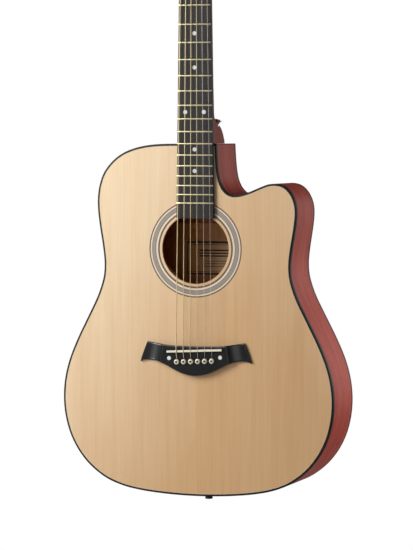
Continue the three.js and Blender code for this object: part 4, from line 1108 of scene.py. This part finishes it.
# ---------------------------------------------------------------- strings
STRING_D = [1.35, 1.07, 0.82, 0.61, 0.41, 0.31]
NUT_Y = BOARD_Y0 - 1.0 - 0.6
SADDLE_Y = 2 * (BOARD_Y0 - 1.0 - 2.4) - NUT_Y
SAD_TOP = SADDLE_Y + 0.3


def strings():
    bronze = [wound("wound_%s" % n, (0.86, 0.72, 0.42), p) for n, p in (("6", 0.5), ("5", 0.42), ("4", 0.34), ("3", 0.26))]
    for i in range(6):
        d = STRING_D[i]
        r = d / 2
        px, pz = PINS[i]
        nx, sx = -18 + 36 / 5 * i, -26.75 + 53.5 / 5 * i
        u, v_, n, _ = next(p for p in POSTS if p[3] == i)
        s = 1 if u > 0 else -1
        zs = -296.2 + sx / 41.5 * 1.9
        sy, zp = SAD_TOP - r - 0.08, pz + 3.9 + 0.25 + r
        pr = POST_R + FIT + r
        turns = 3 if i < 3 else 4
        pts = [(px, 7.5, zp), (px, -6.0, zp), (px, PIN_Y + 0.4, zp + 0.1), (px, PIN_Y - 0.8, zp + 0.9)]
        pts += [(sx + (px - sx) * 0.05, sy + 0.6, zs - 2.6), (sx, sy + 0.05, zs - 1.0), (sx, sy, zs), (sx, sy + 0.02, zs + 1.2)]
        pts += [(sx + (nx - sx) * t, sy + (NUT_Y - sy) * t, zs + 1.2 + (NUT_Z + 0.6 - zs - 1.2) * t) for t in (0.25, 0.5, 0.75)]
        pts += [(nx, NUT_Y, NUT_Z + 0.6), (nx, NUT_Y + 0.1, NUT_Z + 3.0), (nx, NUT_Y + 0.45, NUT_Z + 5.2)]
        # Onto the inner flank of the post, then round it in a tight coil.
        a0 = math.pi if s > 0 else 0.0
        steps = 20
        tur = []
        for k in range(steps * turns + 1):
            th = a0 - s * 2 * math.pi * k / steps
            w = COIL_W - d * turns / 2 * 1.02 + k / steps * d * 1.02 + r
            tur.append(H((u + pr * math.cos(th), w, v_ + pr * math.sin(th))))
        pts += tur
        v, f = tube(pts, r, 10 if i < 4 else 8)
        obj("string_wire_" + n, v, f, bronze[i] if i < 4 else STEEL, "guitar", ["string_" + n], "wound_bronze" if i < 4 else "plain_steel", smooth=60)


strings()

# ---------------------------------------------------------------- stage
def stage():
    m = material("floor_pale", (0.86, 0.86, 0.855), 0.85)
    n = N(m)
    a = n.noise(n.mapping((1.5, 1.5, 1.5)), 1, 2)
    n.color(n.ramp(a, [(0.3, (0.84, 0.84, 0.835)), (0.7, (0.88, 0.88, 0.875))]))
    z0 = cad_lo[2] - 0.55
    k, R = 96, 1.5
    v = [(R * math.cos(2 * math.pi * i / k), R * math.sin(2 * math.pi * i / k), z0) for i in range(k)]
    v += [(x, y, z0 - 0.02) for x, y, _ in v]
    f = [tuple(range(k)), tuple(range(2 * k - 1, k - 1, -1))] + [(i, i + k, (i + 1) % k + k, (i + 1) % k) for i in range(k)]
    me = bpy.data.meshes.new("floor")
    me.from_pydata(v, [], f)
    me.materials.append(m)
    o = bpy.data.objects.new("floor", me)
    COL.objects.link(o)

    def area_light(name, pos, aim, size, energy, color=(1, 1, 1), size_y=None):
        d = bpy.data.lights.new(name, "AREA")
        d.energy, d.size, d.color = energy, size, color
        if size_y:
            d.shape, d.size_y = "RECTANGLE", size_y
        o = bpy.data.objects.new(name, d)
        COL.objects.link(o)
        o.location = pos
        o.rotation_mode = "QUATERNION"
        o.rotation_quaternion = (Vector(aim) - Vector(pos)).to_track_quat("-Z", "Y")
        return o

    c = (0.0, 0.0, -0.6)
    area_light("key", (-0.86, -0.96, 0.02), (-0.05, 0, -0.55), 0.7, KEY, (1.0, 0.985, 0.96), 0.9)
    area_light("fill", (0.1, -3.0, -0.3), c, 1.2, FILL, (1.0, 0.99, 0.98))
    area_light("rim", (1.95, 0.9, 0.0), c, 1.2, RIM, (1.0, 0.98, 0.97))
    area_light("edge", (1.0, 2.35, -0.45), (0.2, 0.05, -0.65), 0.6, EDGE, (1.0, 0.98, 0.98), 1.1)
    area_light("kick", (-0.95, -1.05, -0.92), (-0.06, 0, -0.68), 0.25, KICK, (0.96, 0.98, 1.0))
    d = bpy.data.lights.new("flank", "SPOT")
    d.energy, d.spot_size, d.spot_blend, d.shadow_soft_size, d.color = FLANK, 0.32, 1.0, 0.15, (1.0, 0.98, 0.97)
    o = bpy.data.objects.new("flank", d)
    COL.objects.link(o)
    o.location = (1.5, 0.6, -0.3)
    o.rotation_mode = "QUATERNION"
    o.rotation_quaternion = (Vector((0.2, 0.05, -0.665)) - Vector(o.location)).to_track_quat("-Z", "Y")
    w = bpy.data.worlds.new("studio")
    w.use_nodes = True
    t = w.node_tree
    bg = t.nodes["Background"]
    bg.inputs[0].default_value = (1, 1, 1, 1)
    bg.inputs[1].default_value = AMBIENT
    white = t.nodes.new("ShaderNodeBackground")
    white.inputs[0].default_value = (1, 1, 1, 1)
    white.inputs[1].default_value = 1.0
    path, mix = t.nodes.new("ShaderNodeLightPath"), t.nodes.new("ShaderNodeMixShader")
    t.links.new(path.outputs["Is Camera Ray"], mix.inputs[0])
    t.links.new(bg.outputs[0], mix.inputs[1])
    t.links.new(white.outputs[0], mix.inputs[2])
    t.links.new(mix.outputs[0], t.nodes["World Output"].inputs[0])
    bpy.context.scene.world = w
    bpy.context.scene.view_settings.view_transform = "Standard"


KEY, FILL, RIM, EDGE, KICK, FLANK, AMBIENT = 18.8, 5.5, 17.5, 2.6, 2.2, 38, 0.06
stage()
